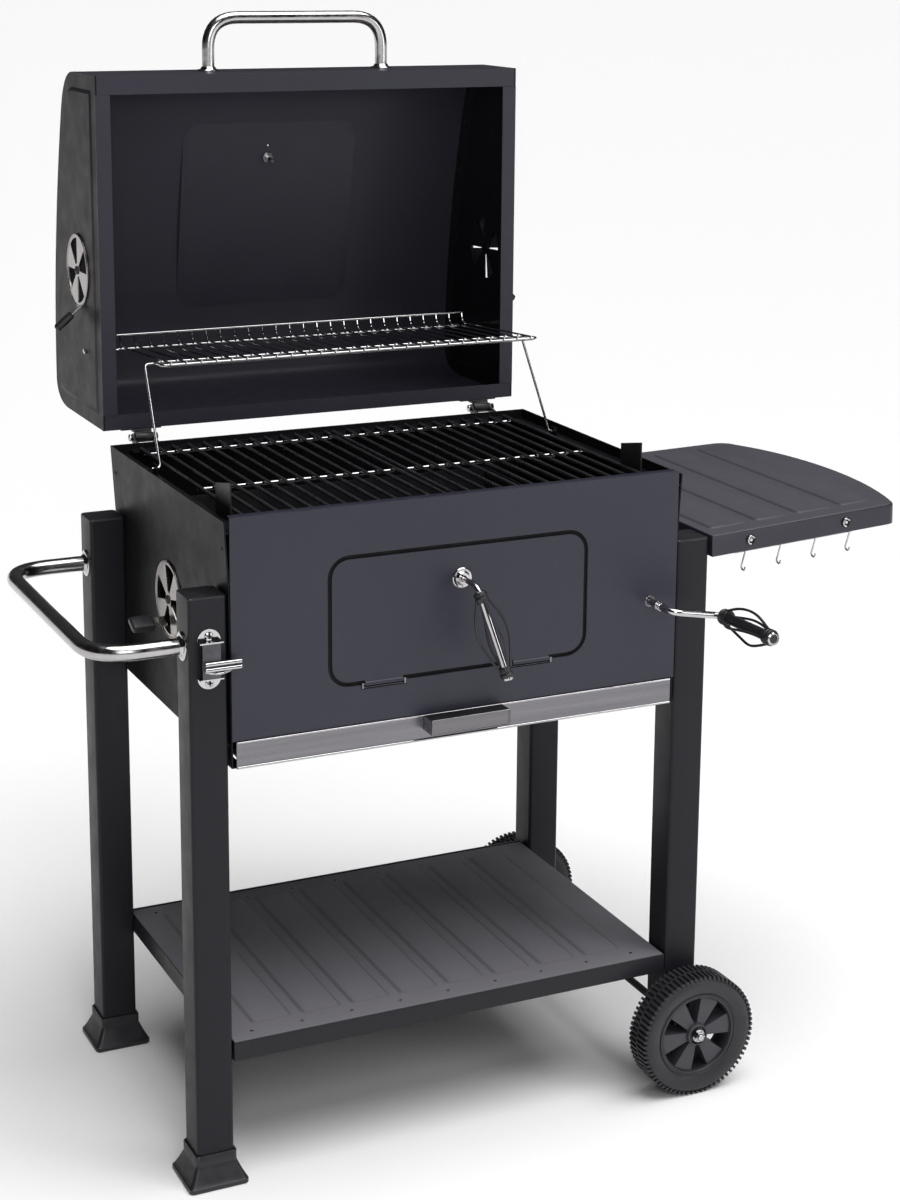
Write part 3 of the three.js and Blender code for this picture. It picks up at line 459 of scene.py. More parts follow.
def piece(name, shape, material, body, replaces=(), bevel=0.0, smooth=35):
    """Makes the shape into an object that rides on a body."""
    mesh = bpy.data.meshes.new(name)
    mesh.from_pydata([ORIGIN + p * MM for p in shape.points], [], shape.faces)
    thing = bpy.data.objects.new(name, mesh)
    bpy.context.scene.collection.objects.link(thing)
    mesh.materials.append(material)
    bpy.context.view_layer.objects.active = thing
    bpy.ops.object.mode_set(mode="EDIT")
    bpy.ops.mesh.select_all(action="SELECT")
    bpy.ops.mesh.remove_doubles(threshold=0.00001)
    bpy.ops.mesh.normals_make_consistent(inside=False)
    bpy.ops.object.mode_set(mode="OBJECT")
    soften(thing, bevel, smooth)
    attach(thing, body)
    if replaces:
        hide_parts(*([replaces] if isinstance(replaces, str) else replaces))
    return thing


def round_edges(thing, bevel, sharp):
    """Rounds the edges sharper than an angle, by a width in millimetres."""
    rounding = thing.modifiers.new("rounding", "BEVEL")
    rounding.width = bevel * MM
    rounding.segments = 2
    rounding.limit_method = "ANGLE"
    rounding.angle_limit = math.radians(sharp)
    return rounding


def soften(thing, bevel, smooth):
    """Smooth shading with sharp edges kept, and an optional rounding of those edges in millimetres."""
    thing.data.shade_smooth()
    thing.data.set_sharp_from_angle(angle=math.radians(smooth))
    if bevel:
        round_edges(thing, bevel, smooth).harden_normals = True


def dress(node, material, bevel, curved=False):
    """Keeps a CAD node in view with a finish and slightly rounded edges; curved nodes are shaded smooth."""
    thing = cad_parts[node]
    for slot in thing.material_slots:
        slot.material = material
    weld = thing.modifiers.new("weld", "WELD")
    weld.merge_threshold = 0.00002
    flatten = thing.modifiers.new("flatten", "DECIMATE")
    flatten.decimate_type = "DISSOLVE"
    flatten.angle_limit = math.radians(1)
    if curved:
        soften(thing, bevel, 40)
    else:
        round_edges(thing, bevel, 30)


def across(x, y, height):
    """Plan view: u is x, v is y."""
    return Vector((x, y, height))


def facing(x, z, height):
    """Front view: height is towards the viewer, from the front plate's face."""
    return Vector((x, -height, z))


def sideways(side, wall):
    """Side view of the wall at x: u is y, v is z and height is outwards."""
    return lambda y, z, height: Vector((side * (wall + height), y, z))


# ---------------- fasteners
def dome_screw(shape, centre, axis, radius, height, recessed=True):
    """A domed head, with a round recess in the middle unless it is a rivet."""
    middle, rim = (height - 0.7, height - 0.6) if recessed else (height, height)
    profile = [(0, middle), (radius * 0.3, rim), (radius * 0.34, height * 0.97), (radius * 0.7, height * 0.8),
               (radius * 0.95, height * 0.4), (radius, 0), (0, 0)]
    shape.lathe(profile, centre, axis, 20)


def hex_nut(shape, centre, axis, radius, height):
    turn = Vector((0, 0, 1)).rotation_difference(Vector(axis)).to_matrix()
    rings = []
    for scale, level in ((1.0, 0), (1.0, height * 0.85), (0.86, height), (0.5, height), (0.5, height * 0.5)):
        rings.append([Vector(centre) + turn @ Vector((u, v, level)) for u, v in circle(radius * scale, 6)])
    shape.rings(rings)


# ---------------- air vents
VENT_RADIUS, VENT_INNER, VENT_OUTER = 50, 0.2, 0.88
DISC_SPREAD, WALL_SPREAD = 22, 20
LID_VENT_PHASE, BOX_VENT_PHASE, VENT_SHUT = 68, 10, 37


def vent_slots(centre, phase, spread):
    """Four wedge openings around a centre in y and z."""
    slots = []
    for i in range(4):
        middle = math.radians(90 * i + phase)
        edge = math.radians(spread)
        arcs = [(VENT_OUTER, -edge + 2 * edge * k / 6) for k in range(7)]
        arcs += [(VENT_INNER, edge), (VENT_INNER, -edge)]
        wedge = [polar(r * VENT_RADIUS, middle + a) for r, a in arcs]
        slots.append([(centre[0] + u, centre[1] + v) for u, v in wedge])
    return slots


def make_vent(node, side, wall, centre, phase, root, tip):
    """A plated disc with wedge openings, a middle rivet and a bent tab with a black sleeve.

    The tab's root and tip are offsets from the centre: outwards, along y and along z."""
    outwards = sideways(side, wall)
    at = lambda out, y, z: outwards(centre[0] + y, centre[1] + z, out)
    disc = Shape()
    rim = [(centre[0] + u, centre[1] + v) for u, v in circle(VENT_RADIUS, 72)]
    disc.plate(rim, 0.4, 2.0, outwards, vent_slots(centre, phase, DISC_SPREAD))
    disc.tube([at(1.6, u, v) for u, v in circle(VENT_RADIUS - 1.4, 72)], 1.3, 8, closed=True)
    start, end = at(*root), at(*tip)
    along = (end - start).normalized()
    wide = Vector((0, -root[2], root[1])).normalized()
    wide = (wide - along * wide.dot(along)).normalized()
    thin = along.cross(wide)
    corners = ((9, 0.8), (-9, 0.8), (-9, -0.8), (9, -0.8))
    disc.rings([[p + wide * u + thin * v for u, v in corners] for p in (start, end)])
    piece(node + "_disc", disc, DISC, node, node, 0.3)
    grip = Shape()
    reach = (end - start).length
    rings = []
    sleeve = ((0.40, 10, 3), (0.44, 12.4, 5), (0.75, 12.8, 5.6), (1.05, 12.2, 5), (1.1, 10, 3))
    for share, half, thick in sleeve:
        rings.append([start + along * reach * share + wide * u + thin * v
                      for u, v in rounded_rectangle(0, 0, half, thick, thick * 0.8, 4)])
    grip.rings(rings)
    piece(node + "_grip", grip, PLASTIC, node)
    rivet = Shape()
    dome_screw(rivet, at(2.0, 0, 0), (side, 0, 0), 6, 3)
    piece(node + "_rivet", rivet, DARK, node)


# ---------------- wire-cage grips
def cage_grip(name, body, start, end, core_material, core_radius, rim=8.4, bow=13.5):
    """Two collars on a rod, four bowed wires between them and a bright end."""
    start, end = Vector(start), Vector(end)
    along = (end - start).normalized()
    length = (end - start).length
    side = along.orthogonal().normalized()
    other = along.cross(side)
    black = Shape()
    collar = [(core_radius, 0), (rim - 1, 0), (rim, 1.5), (rim, 4), (rim - 1.2, 5.5), (rim, 7), (rim, 11),
              (rim - 1, 13), (core_radius, 13), (core_radius, 0)]
    black.lathe(collar, start, along, 24)
    black.lathe(collar, end, -along, 24)
    for k in range(4):
        angle = math.radians(45 + 90 * k)
        path = []
        for i in range(25):
            share = i / 24
            spread = rim - 1.8 + bow * math.sin(math.pi * share) ** 1.15
            twist = angle + 0.12 * math.sin(2 * math.pi * share)
            path.append(start + along * (6 + share * (length - 12))
                        + (side * math.cos(twist) + other * math.sin(twist)) * spread)
        black.tube(path, 1.7, 8)
    piece(name + "_cage", black, PLASTIC, body, name)
    core = Shape()
    thick, tip = core_radius - 0.1, length + 3.2
    profile = [(0, -1), (thick, -1), (thick, length + 2), (core_radius - 1.2, tip), (0, tip)]
    core.lathe(profile, start, along, 20)
    piece(name + "_core", core, core_material, body)
    cap = Shape()
    reach = rim - 1.6
    dish = [(reach - 2, 4), (reach - 2.4, 3), (0, 2.6)]
    profile = [(0, 0), (reach - 0.2, 0), (reach, 1), (reach - 0.4, 2.8), *dish]
    cap.lathe(profile, end + along * 0.2, along, 24)
    piece(name + "_cap", cap, CHROME, body)


def rosette(shape, centre, axis, outer, bore, height):
    """A turned collar: a flat flange and a narrower neck round a bore."""
    flange = [(bore, 0.2), (outer, 0.2), (outer, 1.2), (outer * 0.92, 2.2), (outer * 0.72, 2.4)]
    neck = [(outer * 0.62, height * 0.8), (outer * 0.56, height), (bore, height), (bore, 0.2)]
    shape.lathe(flange + neck, centre, axis, 40)


# ---------------- lid
lid_end = Span("lid_end_left")
LID_OPEN, LID_BACK, LID_LOW, LID_TOP = lid_end.y0, lid_end.y1, lid_end.z0, lid_end.z1
LID_HALF = -lid_end.x0
LID_LIP, LID_TOP_LIP, END_RISE = 20, 25, 1.6
HEEL, CROWN = LID_BACK - 53, LID_BACK - 123
LOW_BEND, BOW = LID_LOW + 33, LID_LOW + 213
EAVE_Y, EAVE_Z = LID_BACK - 60, LID_TOP - 62
RACK_PIVOT_Y, RACK_PIVOT_Z = LID_OPEN + 71, LID_LOW + 97.5


def lid_outline(d=0.0):
    """The lid's side profile in y and z, drawn in by d: heel, bowed roof and eave, as it stands open."""
    back = LID_BACK - d
    outline = [(LID_OPEN, LID_LOW + d)]
    outline += quadratic((HEEL, LID_LOW + d), (back - 3, LID_LOW + 3 + d), (back, LOW_BEND), 8)
    outline += quadratic((back, LOW_BEND), (back, BOW), (EAVE_Y - d, EAVE_Z), 16)[1:]
    outline += quadratic((EAVE_Y - d, EAVE_Z), (EAVE_Y - 16 - d, LID_TOP - d), (CROWN, LID_TOP - d), 8)[1:]
    return outline + [(LID_OPEN, LID_TOP - d)]


def roof_point(x, z, height):
    """A point over the bowed roof at height z, height millimetres outside it."""
    share = 0.5
    for _ in range(30):
        level = LOW_BEND * (1 - share) ** 2 + BOW * 2 * share * (1 - share) + EAVE_Z * share ** 2
        share += (z - level) / (EAVE_Z - LOW_BEND)
        share = min(max(share, 0.0), 1.0)
    y = LID_BACK * (1 - share) ** 2 + LID_BACK * 2 * share * (1 - share) + EAVE_Y * share ** 2
    run = 2 * share * (EAVE_Y - LID_BACK)
    rise = 2 * (1 - share) * (BOW - LOW_BEND) + 2 * share * (EAVE_Z - BOW)
    outward = Vector((0, rise, -run)).normalized()
    return Vector((x, y, z)) + outward * height


def make_lid():
    make_wrapper()
    vent = Span("lid_vent_left")
    centre = (vent.y0 + VENT_RADIUS, vent.z1 - VENT_RADIUS)
    for name, side in SIDES.items():
        make_lid_end(name, side, centre)
        turned = LID_VENT_PHASE + (VENT_SHUT if side > 0 else 0)
        root, tip = (2.6, -16, -46), (33, -10, -74)
        make_vent(f"lid_vent_{name}", side, LID_HALF + END_RISE, centre, turned, root, tip)
    make_lid_fasteners()
    make_lid_handle()
    make_thermometer()
    for name in SIDES:
        make_lid_hinge(name)


def make_wrapper():
    """The bent sheet between the lid's ends, with a lip at its low and high edges and a pressed panel."""
    wrapper = Shape()
    inner = list(reversed(lid_outline(SHEET)))[1:-1]
    lip_y = LID_OPEN + SHEET
    high_lip, low_lip = LID_TOP - LID_TOP_LIP, LID_LOW + LID_LIP
    section = [*lid_outline(), (LID_OPEN, high_lip), (lip_y, high_lip), (lip_y, LID_TOP - SHEET),
               *inner, (lip_y, LID_LOW + SHEET), (lip_y, low_lip), (LID_OPEN, low_lip)]
    reach = LID_HALF - SHEET - HAIR
    wrapper.plate(section, -reach, reach, lambda y, z, x: Vector((x, y, z)))
    pressed = rounded_rectangle(4, (LID_LOW + LID_TOP) / 2 + 22, 131, 134, 26)
    wrapper.pressing(pressed, 0, 2.2, 6, roof_point)
    wrapper.pressing(pressed, SHEET, 0.7, 9, lambda x, z, height: roof_point(x, z, -height))
    piece("lid_wrapper_sheet", wrapper, LID_COAT, "lid", "lid_wrapper", 0.5, 30)


def make_lid_end(name, side, vent_centre):
    """A lid end: a border, a raised panel with the vent's openings, and a flange along the open edge."""
    to_space = sideways(side, LID_HALF)
    end = Shape()
    slots = vent_slots(vent_centre, LID_VENT_PHASE, WALL_SPREAD)
    border = inset(lid_outline(), 20)
    raised = inset(lid_outline(), 25)
    end.plate(lid_outline(), -SHEET, 0, to_space, [border])
    end.plate(raised, -SHEET + END_RISE, END_RISE, to_space, slots)
    count = len(border)
    for low, high in ((-SHEET, -SHEET + END_RISE), (0, END_RISE)):
        points = [to_space(*p, low) for p in border] + [to_space(*p, high) for p in raised]
        end.add(points, [[i, (i + 1) % count, count + (i + 1) % count, count + i] for i in range(count)])
    flange = Shape()
    edges = sorted((side * (LID_HALF - LID_LIP), side * (LID_HALF + HAIR)))
    flange.box((edges[0], LID_OPEN - HAIR, LID_LOW + LID_LIP + HAIR),
               (edges[1], LID_OPEN + SHEET, LID_TOP - LID_TOP_LIP - HAIR))
    piece(f"lid_flange_{name}", flange, LID_COAT, "lid", bevel=0.4)
    piece(f"lid_end_{name}_sheet", end, SHADED_LID_END_COAT, "lid", f"lid_end_{name}", 0, 30)


def make_lid_hinge(name):
    dress(f"lid_hinge_leaf_{name}", DARK, 0.6, curved=True)
    dress(f"body_hinge_leaf_{name}", DARK, 0.4, curved=True)
    leaf, joint = Span(f"lid_hinge_leaf_{name}"), Span(f"body_hinge_leaf_{name}")
    heads, bolts = Shape(), Shape()
    for way in (-1, 1):
        pin_end = (joint.mid.x + way * 18.4, LID_OPEN - 6, LID_LOW - 11)
        dome_screw(heads, pin_end, (way, 0, 0), 5.2, 2.4, False)
        dome_screw(bolts, (leaf.mid.x + way * 20, leaf.y1 - 14, LID_LOW + SHEET), (0, 0, 1), 4.5, 2.2)
    piece(f"hinge_pin_heads_{name}", heads, CHROME, "cart")
    piece(f"hinge_bolts_{name}", bolts, CHROME, "lid")


def make_lid_fasteners():
    """Welds up the ends' rear seam, and the bright ends of the rack's pivot on the lid's sides."""
    welds = Shape()
    outline = lid_outline(14)
    for side in SIDES.values():
        for y, z in outline[6:26:3]:
            dome_screw(welds, (side * (LID_HALF - SHEET), y, z), (-side, 0, 0), 2.0, 0.9, False)
    piece("lid_seam_welds", welds, DARK, "lid")
    ends = Shape()
    for side in SIDES.values():
        for dy, reach, head in ((0, 3.0, 2.8), (-12, 5.0, 2.2)):
            foot = (side * (LID_HALF + END_RISE), RACK_PIVOT_Y + dy, RACK_PIVOT_Z)
            profile = [(0, 0), (1.5, 0), (1.5, reach - 1), (head, reach - 1), (head, reach), (0, reach + 0.6)]
            ends.lathe(profile, foot, (side, 0, 0), 16)
    piece("rack_pivot_ends", ends, CHROME, "lid")


def make_lid_handle():
    box = Span("lid_handle")
    radius, bend = 8.5, 42
    half, top = box.x1 - 14, box.z1 - radius
    tube = Shape()
    corners = [(x, box.mid.y, z) for x, z in ((-half, box.z0), (-half, top), (half, top), (half, box.z0))]
    tube.tube(rounded(corners, bend, 10), radius, 24)
    piece("lid_handle_tube", tube, TUBE, "lid", "lid_handle")
    feet = Shape()
    for x in (-half, half):
        rosette(feet, (x, box.mid.y, box.z0 - 0.3), (0, 0, 1), 15.5, radius + 0.2, 6)
    piece("lid_handle_rosettes", feet, CHROME, "lid")


def make_thermometer():
    gauge_z = Span("thermometer").mid.z + 1.5
    centre = roof_point(0, gauge_z, 2.2)
    outward = (roof_point(0, gauge_z, 10) - roof_point(0, gauge_z, 0)).normalized()
    body = Shape()
    stem = [(0, -26), (2.6, -26), (3.2, -25), (3.2, -10.5), (5, -10.5), (5, -9.5), (0, -9.5)]
    body.lathe(stem, centre, outward)
    bezel = [(30, 9), (28.6, 10.6), (27, 11), (25.6, 10.4), (25.2, 8), (0, 8), (0, 0.5)]
    body.lathe([(4, 0.5), (27, 0.5), (29.5, 2), (30, 4), *bezel], centre, outward, 48)
    hex_nut(body, centre - outward * 9.6, outward, 8.5, 5)
    piece("thermometer_case", body, CHROME, "lid", "thermometer")
    make_dial(centre, outward)


def make_dial(centre, outward):
    """The dial's face, marks, needle and glass, and the screws of its bracket inside the lid."""
    side = Vector((1, 0, 0))
    up = outward.cross(side)
    face = Shape()
    face.lathe([(0, 8.1), (25, 8.1), (25, 8.5), (0, 8.5)], centre, outward, 48)
    piece("thermometer_dial", face, DIAL, "lid")
    marks = Shape()
    for i in range(21):
        angle = math.radians(-135 + 13.5 * i)
        reach = side * math.sin(angle) + up * math.cos(angle)
        cross = side * math.cos(angle) - up * math.sin(angle)
        inner, thick = (17, 0.7) if i % 5 == 0 else (20, 0.35)
        corners = ((inner, -1), (23, -1), (23, 1), (inner, 1))
        marks.rings([[centre + reach * r + cross * w * thick + outward * h for r, w in corners]
                     for h in (8.4, 8.7)])
    piece("thermometer_marks", marks, DARK, "lid")
    needle = Shape()
    turn = -2.2
    tip = side * math.sin(turn) + up * math.cos(turn)
    pivot = centre + outward * 9
    needle.tube([pivot - tip * 6, pivot, pivot + tip * 19], lambda share: 1.1 - 0.8 * share, 8)
    needle.lathe([(0, 8.4), (2.2, 8.4), (2.2, 9.6), (0, 10)], centre, outward, 16)
    piece("thermometer_needle", needle, NEEDLE, "lid")
    glass = Shape()
    glass.lathe([(0, 9.9), (18, 10.0), (25.3, 9.8), (25.3, 10.3), (18, 10.9), (0, 11.2)], centre, outward, 48)
    piece("thermometer_glass", glass, GLASS, "lid")
    bracket = Shape()
    inside = centre - outward * 5.2
    for right, down in ((0, 17), (8, -12), (-7, -9)):
        dome_screw(bracket, inside + side * right - up * down, -outward, 3.2, 2.6)
    piece("thermometer_bracket_screws", bracket, CHROME, "lid")


# ---------------- warming rack and struts
def make_rack():
    """A rack of bent wires on four rails, with a fence at its back, a pivot and a loop at each side."""
    rack = Span("warming_rack")
    half, rise, wires = 262, 14, 26
    pivot_y, pivot_z = RACK_PIVOT_Y, RACK_PIVOT_Z
    front_y, fence_z = rack.y0 + 1.7, rack.z1 - 1.7
    second_y = front_y + 38
    level = lambda y: pivot_z + rise * (pivot_y - y) / (pivot_y - front_y)
    front_z, second_z = level(front_y), level(second_y)
    chrome = Shape()
    for i in range(wires):
        x = -half + 4 + (2 * half - 8) * i / (wires - 1)
        bends = [(x, front_y - 3, front_z + 3.4), (x, pivot_y - 3, pivot_z + 3.4), (x, pivot_y + 1, fence_z)]
        chrome.tube(rounded(bends, 9, 5), 1.25, 8)
    rails = [(front_y, front_z, 2.3), (second_y, second_z, 1.8), (pivot_y - 6, pivot_z, 2.0),
             (pivot_y + 1.5, fence_z, 2.0)]
    for y, z, radius in rails:
        chrome.tube([(-half, y, z), (half, y, z)], radius, 12)
    for side in SIDES.values():
        pivot = [(half, pivot_y - 6, pivot_z), (half + 16, pivot_y - 1, pivot_z),
                 (LID_HALF - 0.6, pivot_y, pivot_z)]
        loop = [(half, front_y, front_z), (half + 7, front_y + 4, front_z),
                (half + 7, second_y - 4, second_z), (half, second_y, second_z)]
        chrome.tube(rounded(mirrored(side, pivot), 5, 4), 1.7, 10)
        chrome.tube(rounded(mirrored(side, loop), 4, 4), 1.8, 10)
    piece("warming_rack_wires", chrome, CHROME, "warming_rack", "warming_rack")
    for name, side in SIDES.items():
        node = f"rack_strut_{name}"
        strut = Span(node)
        foot_y, foot_z = strut.y0 + 1.7, strut.z0 + 1.7
        head_y, head_z = strut.y1 - 1, level(strut.y1) - 3.6
        bends = [(291.5, foot_y, foot_z), (280, foot_y, foot_z), (274, head_y, head_z), (258, head_y, head_z)]
        wire = Shape()
        wire.tube(rounded(mirrored(side, bends), 6, 6), 1.7, 12)
        piece(node + "_wire", wire, CHROME, node, node)


# ---------------- cooking grates
def make_grates():
    for name in SIDES:
        node = f"cooking_grate_{name}"
        box = Span(node)
        rods, radius = 13, 2.5
        dark, bright = Shape(), Shape()
        pitch = (box.x1 - box.x0 - 2 * radius) / (rods - 1)
        for i in range(rods):
            x, z = box.x0 + radius + pitch * i, box.z1 - radius
            path = [(x, y, z) for y in (box.y0, box.y0 + 0.8, box.y1 - 0.8, box.y1)]
            dark.tube(path, lambda share: 1.9 if share in (0, 1) else radius, 12)
        for y in (box.y0 + 12, box.mid.y - 21, box.y1 - 18):
            bright.tube([(box.x0, y, box.z1 - 7), (box.x1, y, box.z1 - 7)], 2.4, 12)
        # The rods get the darkened chrome as a painted dark reflection; the ties keep bright chrome.
        piece(node + "_rods", dark, DARKENED_CHROME, "cart", node)
        piece(node + "_ties", bright, CHROME, "cart")


# ---------------- firebox
# Half the firebox's width, how far its walls lean out at the upper screws, and the seat of its vents.
BOX_HALF, KINK, VENT_WALL = 300, 4.4, 301.2


def make_firebox():
    for node in ("firebox_left_wall", "firebox_right_wall", "firebox_rear_wall"):
        dress(node, SHADED_WALL_COAT, 0.5)
    dress("front_panel", COAT, 1.2)
    dress("charcoal_door", COAT, 1.6)
    for node in ("door_hinge_left", "door_hinge_right"):
        dress(node, STEEL, 0.6)
    for node in ("charcoal_tray", "lift_carriage"):
        dress(node, DARK, 0.4)
    wall = Span("firebox_left_wall")
    vent = Span("firebox_vent_left")
    centre = (vent.y0 + VENT_RADIUS, vent.z0 + VENT_RADIUS)
    for name, side in SIDES.items():
        root, tip = (1, 14, -32), (43, 14, -32)
        make_vent(f"firebox_vent_{name}", side, VENT_WALL, centre, BOX_VENT_PHASE, root, tip)
    screws = Shape()
    for side in SIDES.values():
        for x, z in ((BOX_HALF + KINK, 800), (BOX_HALF, 560)):
            for y in (wall.y0 + 12, wall.y1 - 12):
                dome_screw(screws, (side * x, y, z), (side, 0, 0), 3.0, 1.4)
    for x in (-270, -90, 90, 270):
        for z in (556, 810):
            dome_screw(screws, (x, wall.y1 + 2.3, z), (0, 1, 0), 3.0, 1.4)
    piece("firebox_screws", screws, DARK, "cart")
    make_door_stop()


def make_door_stop():
    """The shadowed ledge behind the door's edge."""
    door = Span("charcoal_door")
    stop = Shape()
    half_width, half_height = (door.x1 - door.x0) / 2, (door.z1 - door.z0) / 2
    outer = rounded_rectangle(door.mid.x, door.mid.z, half_width + 9, half_height + 7, 26)
    inner = rounded_rectangle(door.mid.x, door.mid.z, half_width - 8, half_height - 8, 18)
    stop.plate(outer, -5.6, -4.3, facing, [inner])
    piece("door_stop", stop, CAVITY, "cart")


def make_door_handle():
    door = Span("door_rosette")
    x, z = door.mid.x, door.mid.z
    knee, end = Vector((x, -44, z)), Vector((x + 27, -73, z - 108))
    chrome = Shape()
    chrome.tube(rounded([(x, 16, z), knee, knee.lerp(end, 0.3)], 14, 8), 3.7, 16)
    tongue = Shape()
    tongue.box((x - 8, 9, z - 8), (x + 8, 11.5, z + 36))
    piece("door_handle_rod", chrome, CHROME, "door_handle", "door_handle")
    piece("door_latch_tongue", tongue, CHROME, "door_handle", bevel=1.0)
    cage_grip("door_grip", "door_handle", knee.lerp(end, 0.06), end, CHROME, 4.6)
    plate = Shape()
    rosette(plate, (x, 0, z), (0, -1, 0), 13, 4.2, 5.5)
    piece("door_rosette_turned", plate, CHROME, "charcoal_door", "door_rosette")


def make_crank():
    shaft = Span("crank_shaft")
    x, radius = 262, 4.5
    z = shaft.z1 - radius
    end_x, end_z = shaft.x1 - radius, shaft.z0 + radius
    arm, tip = Vector((end_x, -55, end_z)), Vector((end_x, -172, end_z + 3))
    rod = Shape()
    rod.tube(rounded([(x, shaft.y1, z), (x, arm.y, z), arm, arm.lerp(tip, 0.2)], 14, 8), radius, 20)
    for y in (-20, -24, -28):
        rod.lathe([(4.6, 0), (5.3, 0.5), (5.3, 1.8), (4.6, 2.3), (4.6, 0)], (x, y, z), (0, -1, 0), 24)
    piece("crank_rod", rod, CHROME, "crank", "crank_shaft")
    cage_grip("crank_grip", "crank", arm.lerp(tip, 0.03), arm.lerp(tip, 0.98), PLASTIC, 7.0, 10.4, 13)
    collar = Shape()
    ring = [(5.2, 0), (7.4, 0), (7.4, 0.5), (7, 0.8), (5.2, 0.8), (5.2, 0)]
    collar.lathe(ring, (x, -0.2, z), (0, -1, 0), 32)
    piece("crank_collar", collar, SHADED_STEEL, "cart")


def make_drawer():
    dress("ash_drawer", STEEL, 0.5)
    front = Span("ash_drawer")
    hem = Shape()
    for y, z, radius in ((-1.4, front.z0 + 1.6, 1.5), (-1.2, front.z1 - 1.2, 1.2)):
        hem.tube([(front.x0 + 1, y, z), (front.x1 - 1, y, z)], radius, 12)
    # The rolled edges are real; their chrome, brighter than the drawer's brushed steel, is a painted
    # highlight along top and bottom.
    piece("ash_drawer_hem", hem, CHROME, "ash_drawer")
    dress("ash_drawer_pull", SHADED_STEEL, 0.6)
    pull = Span("ash_drawer_pull")
    rim = Shape()
    for x in (pull.x0, pull.x1 - 1.6):
        rim.box((x, pull.y0 - 0.6, pull.z0), (x + 1.6, pull.y1, pull.z1))
    for z in (pull.z0, pull.z1 - 1.6):
        rim.box((pull.x0, pull.y0 - 0.6, z), (pull.x1, pull.y0 + 1, z + 1.6))
    piece("ash_drawer_pull_rim", rim, STEEL, "ash_drawer", bevel=0.4)


# ---------------- legs, feet, shelf
def make_legs():
    for end in ("front", "rear"):
        for name in SIDES:
            make_leg(f"leg_{end}_{name}", f"leg_cap_{end}_{name}")
        make_foot(f"foot_{end}")


def make_leg(leg, leg_cap):
    """A square tube with round corners, and a moulded cap on its top."""
    box = Span(leg)
    cx, cy = box.mid.x, box.mid.y
    half, corner = (box.x1 - box.x0) / 2, 4.5
    tube = Shape()
    outer = rounded_rectangle(cx, cy, half, half, corner)
    inner = rounded_rectangle(cx, cy, half - SHEET, half - SHEET, 3)
    tube.plate(outer, box.z0, box.z1, across, [inner])
    piece(leg + "_tube", tube, SHADED_LEG_COAT, "cart", leg, 0, 50)
    cap = Shape()
    top = box.z1 + 3
    rings = [(half, box.z1 + HAIR), (half, top - 1.4), (half - 0.5, top - 0.5), (half - 1.6, top)]
    cap.rings([[(u, v, z) for u, v in rounded_rectangle(cx, cy, h, h, corner)] for h, z in rings])
    piece(leg_cap + "_moulded", cap, PLASTIC, "cart", leg_cap)


def make_foot(node):
    """A moulded foot: upright lip, flared skirt and a collar round the leg, open above."""
    box = Span(node)
    cx, cy = box.mid.x, box.mid.y
    base = (box.x1 - box.x0) / 2
    top = box.z1
    rings = [(base - 1.5, 0, 5), (base, 1.5, 6), (base, 6, 6), (base - 1.4, 7.6, 6)]
    for i in range(1, 7):
        share = i / 6
        rings.append((base - 1.4 - (base - 28) * share ** 0.9, 7.6 + 21 * share, 6 - 1.2 * share))
    rings += [(26.4, 29.5, 4.6), (26.4, top - 1, 4.6), (25.6, top, 4.4), (23.9, top, 4.2), (23.9, 13, 4.2)]
    foot = Shape()
    foot.rings([[(u, v, z) for u, v in rounded_rectangle(cx, cy, h, h, r)] for h, z, r in rings])
    piece(node + "_moulded", foot, PLASTIC, "cart", node, 0, 40)


def make_shelf():
    box = Span("bottom_shelf")
    top = box.z1 - 1
    shelf = Shape()
    outline = [(box.x0, box.y0), (box.x1, box.y0), (box.x1, box.y1 - 2.2), (box.x0, box.y1 - 2.2)]
    shelf.pan(outline, top, 25, across, 2.2)
    shelf.box((box.x0 + 1, box.y1 - 2, top - 25), (box.x1 - 1, box.y1, box.z1))
    panels, pitch, first = 8, 66.6, box.x0 + 63
    for i in range(panels):
        pressed = rounded_rectangle(first + pitch * i, box.mid.y + 3, 28, 180, 9)
        shelf.pressing(pressed, top, 2.0, 6, across)
    piece("bottom_shelf_pressed", shelf, SHADED_SHELF_COAT, "cart", "bottom_shelf", 0, 30)
    rivets = Shape()
    for i in range(panels + 1):
        for y in (box.y0 + 20, box.y1 - 25):
            dome_screw(rivets, (first - pitch / 2 + pitch * i, y, top), (0, 0, 1), 2.2, 1.0, False)
    piece("shelf_rivets", rivets, STEEL, "cart")


# ---------------- wheels
# Lugs are counted in each row, and LUG_HALF is half of one's angle in radians.
SPOKES, SPOKE_SHIFT, RIM_RADIUS = 6, 0.12, 50.5
LUGS, LUG_HALF = 72, 0.0205


def make_wheel(name):
    """A wheel with its outer face at one side of the cart; inward is the way along y from that face."""
    node = f"wheel_{name}"
    box = Span(node)
    inward, outer = (1, box.y0) if name == "front" else (-1, box.y1)
    centre = Vector((box.mid.x, outer, box.mid.z))
    make_tyre(node, centre, inward, (box.z1 - box.z0) / 2, box.y1 - box.y0)
    make_hub(node, centre, inward)
    make_web(node, centre, inward)
    make_axle_nut(f"axle_nut_{name}", centre, inward)


def spoke_angle(i):
    return 2 * math.pi * (i + SPOKE_SHIFT) / SPOKES


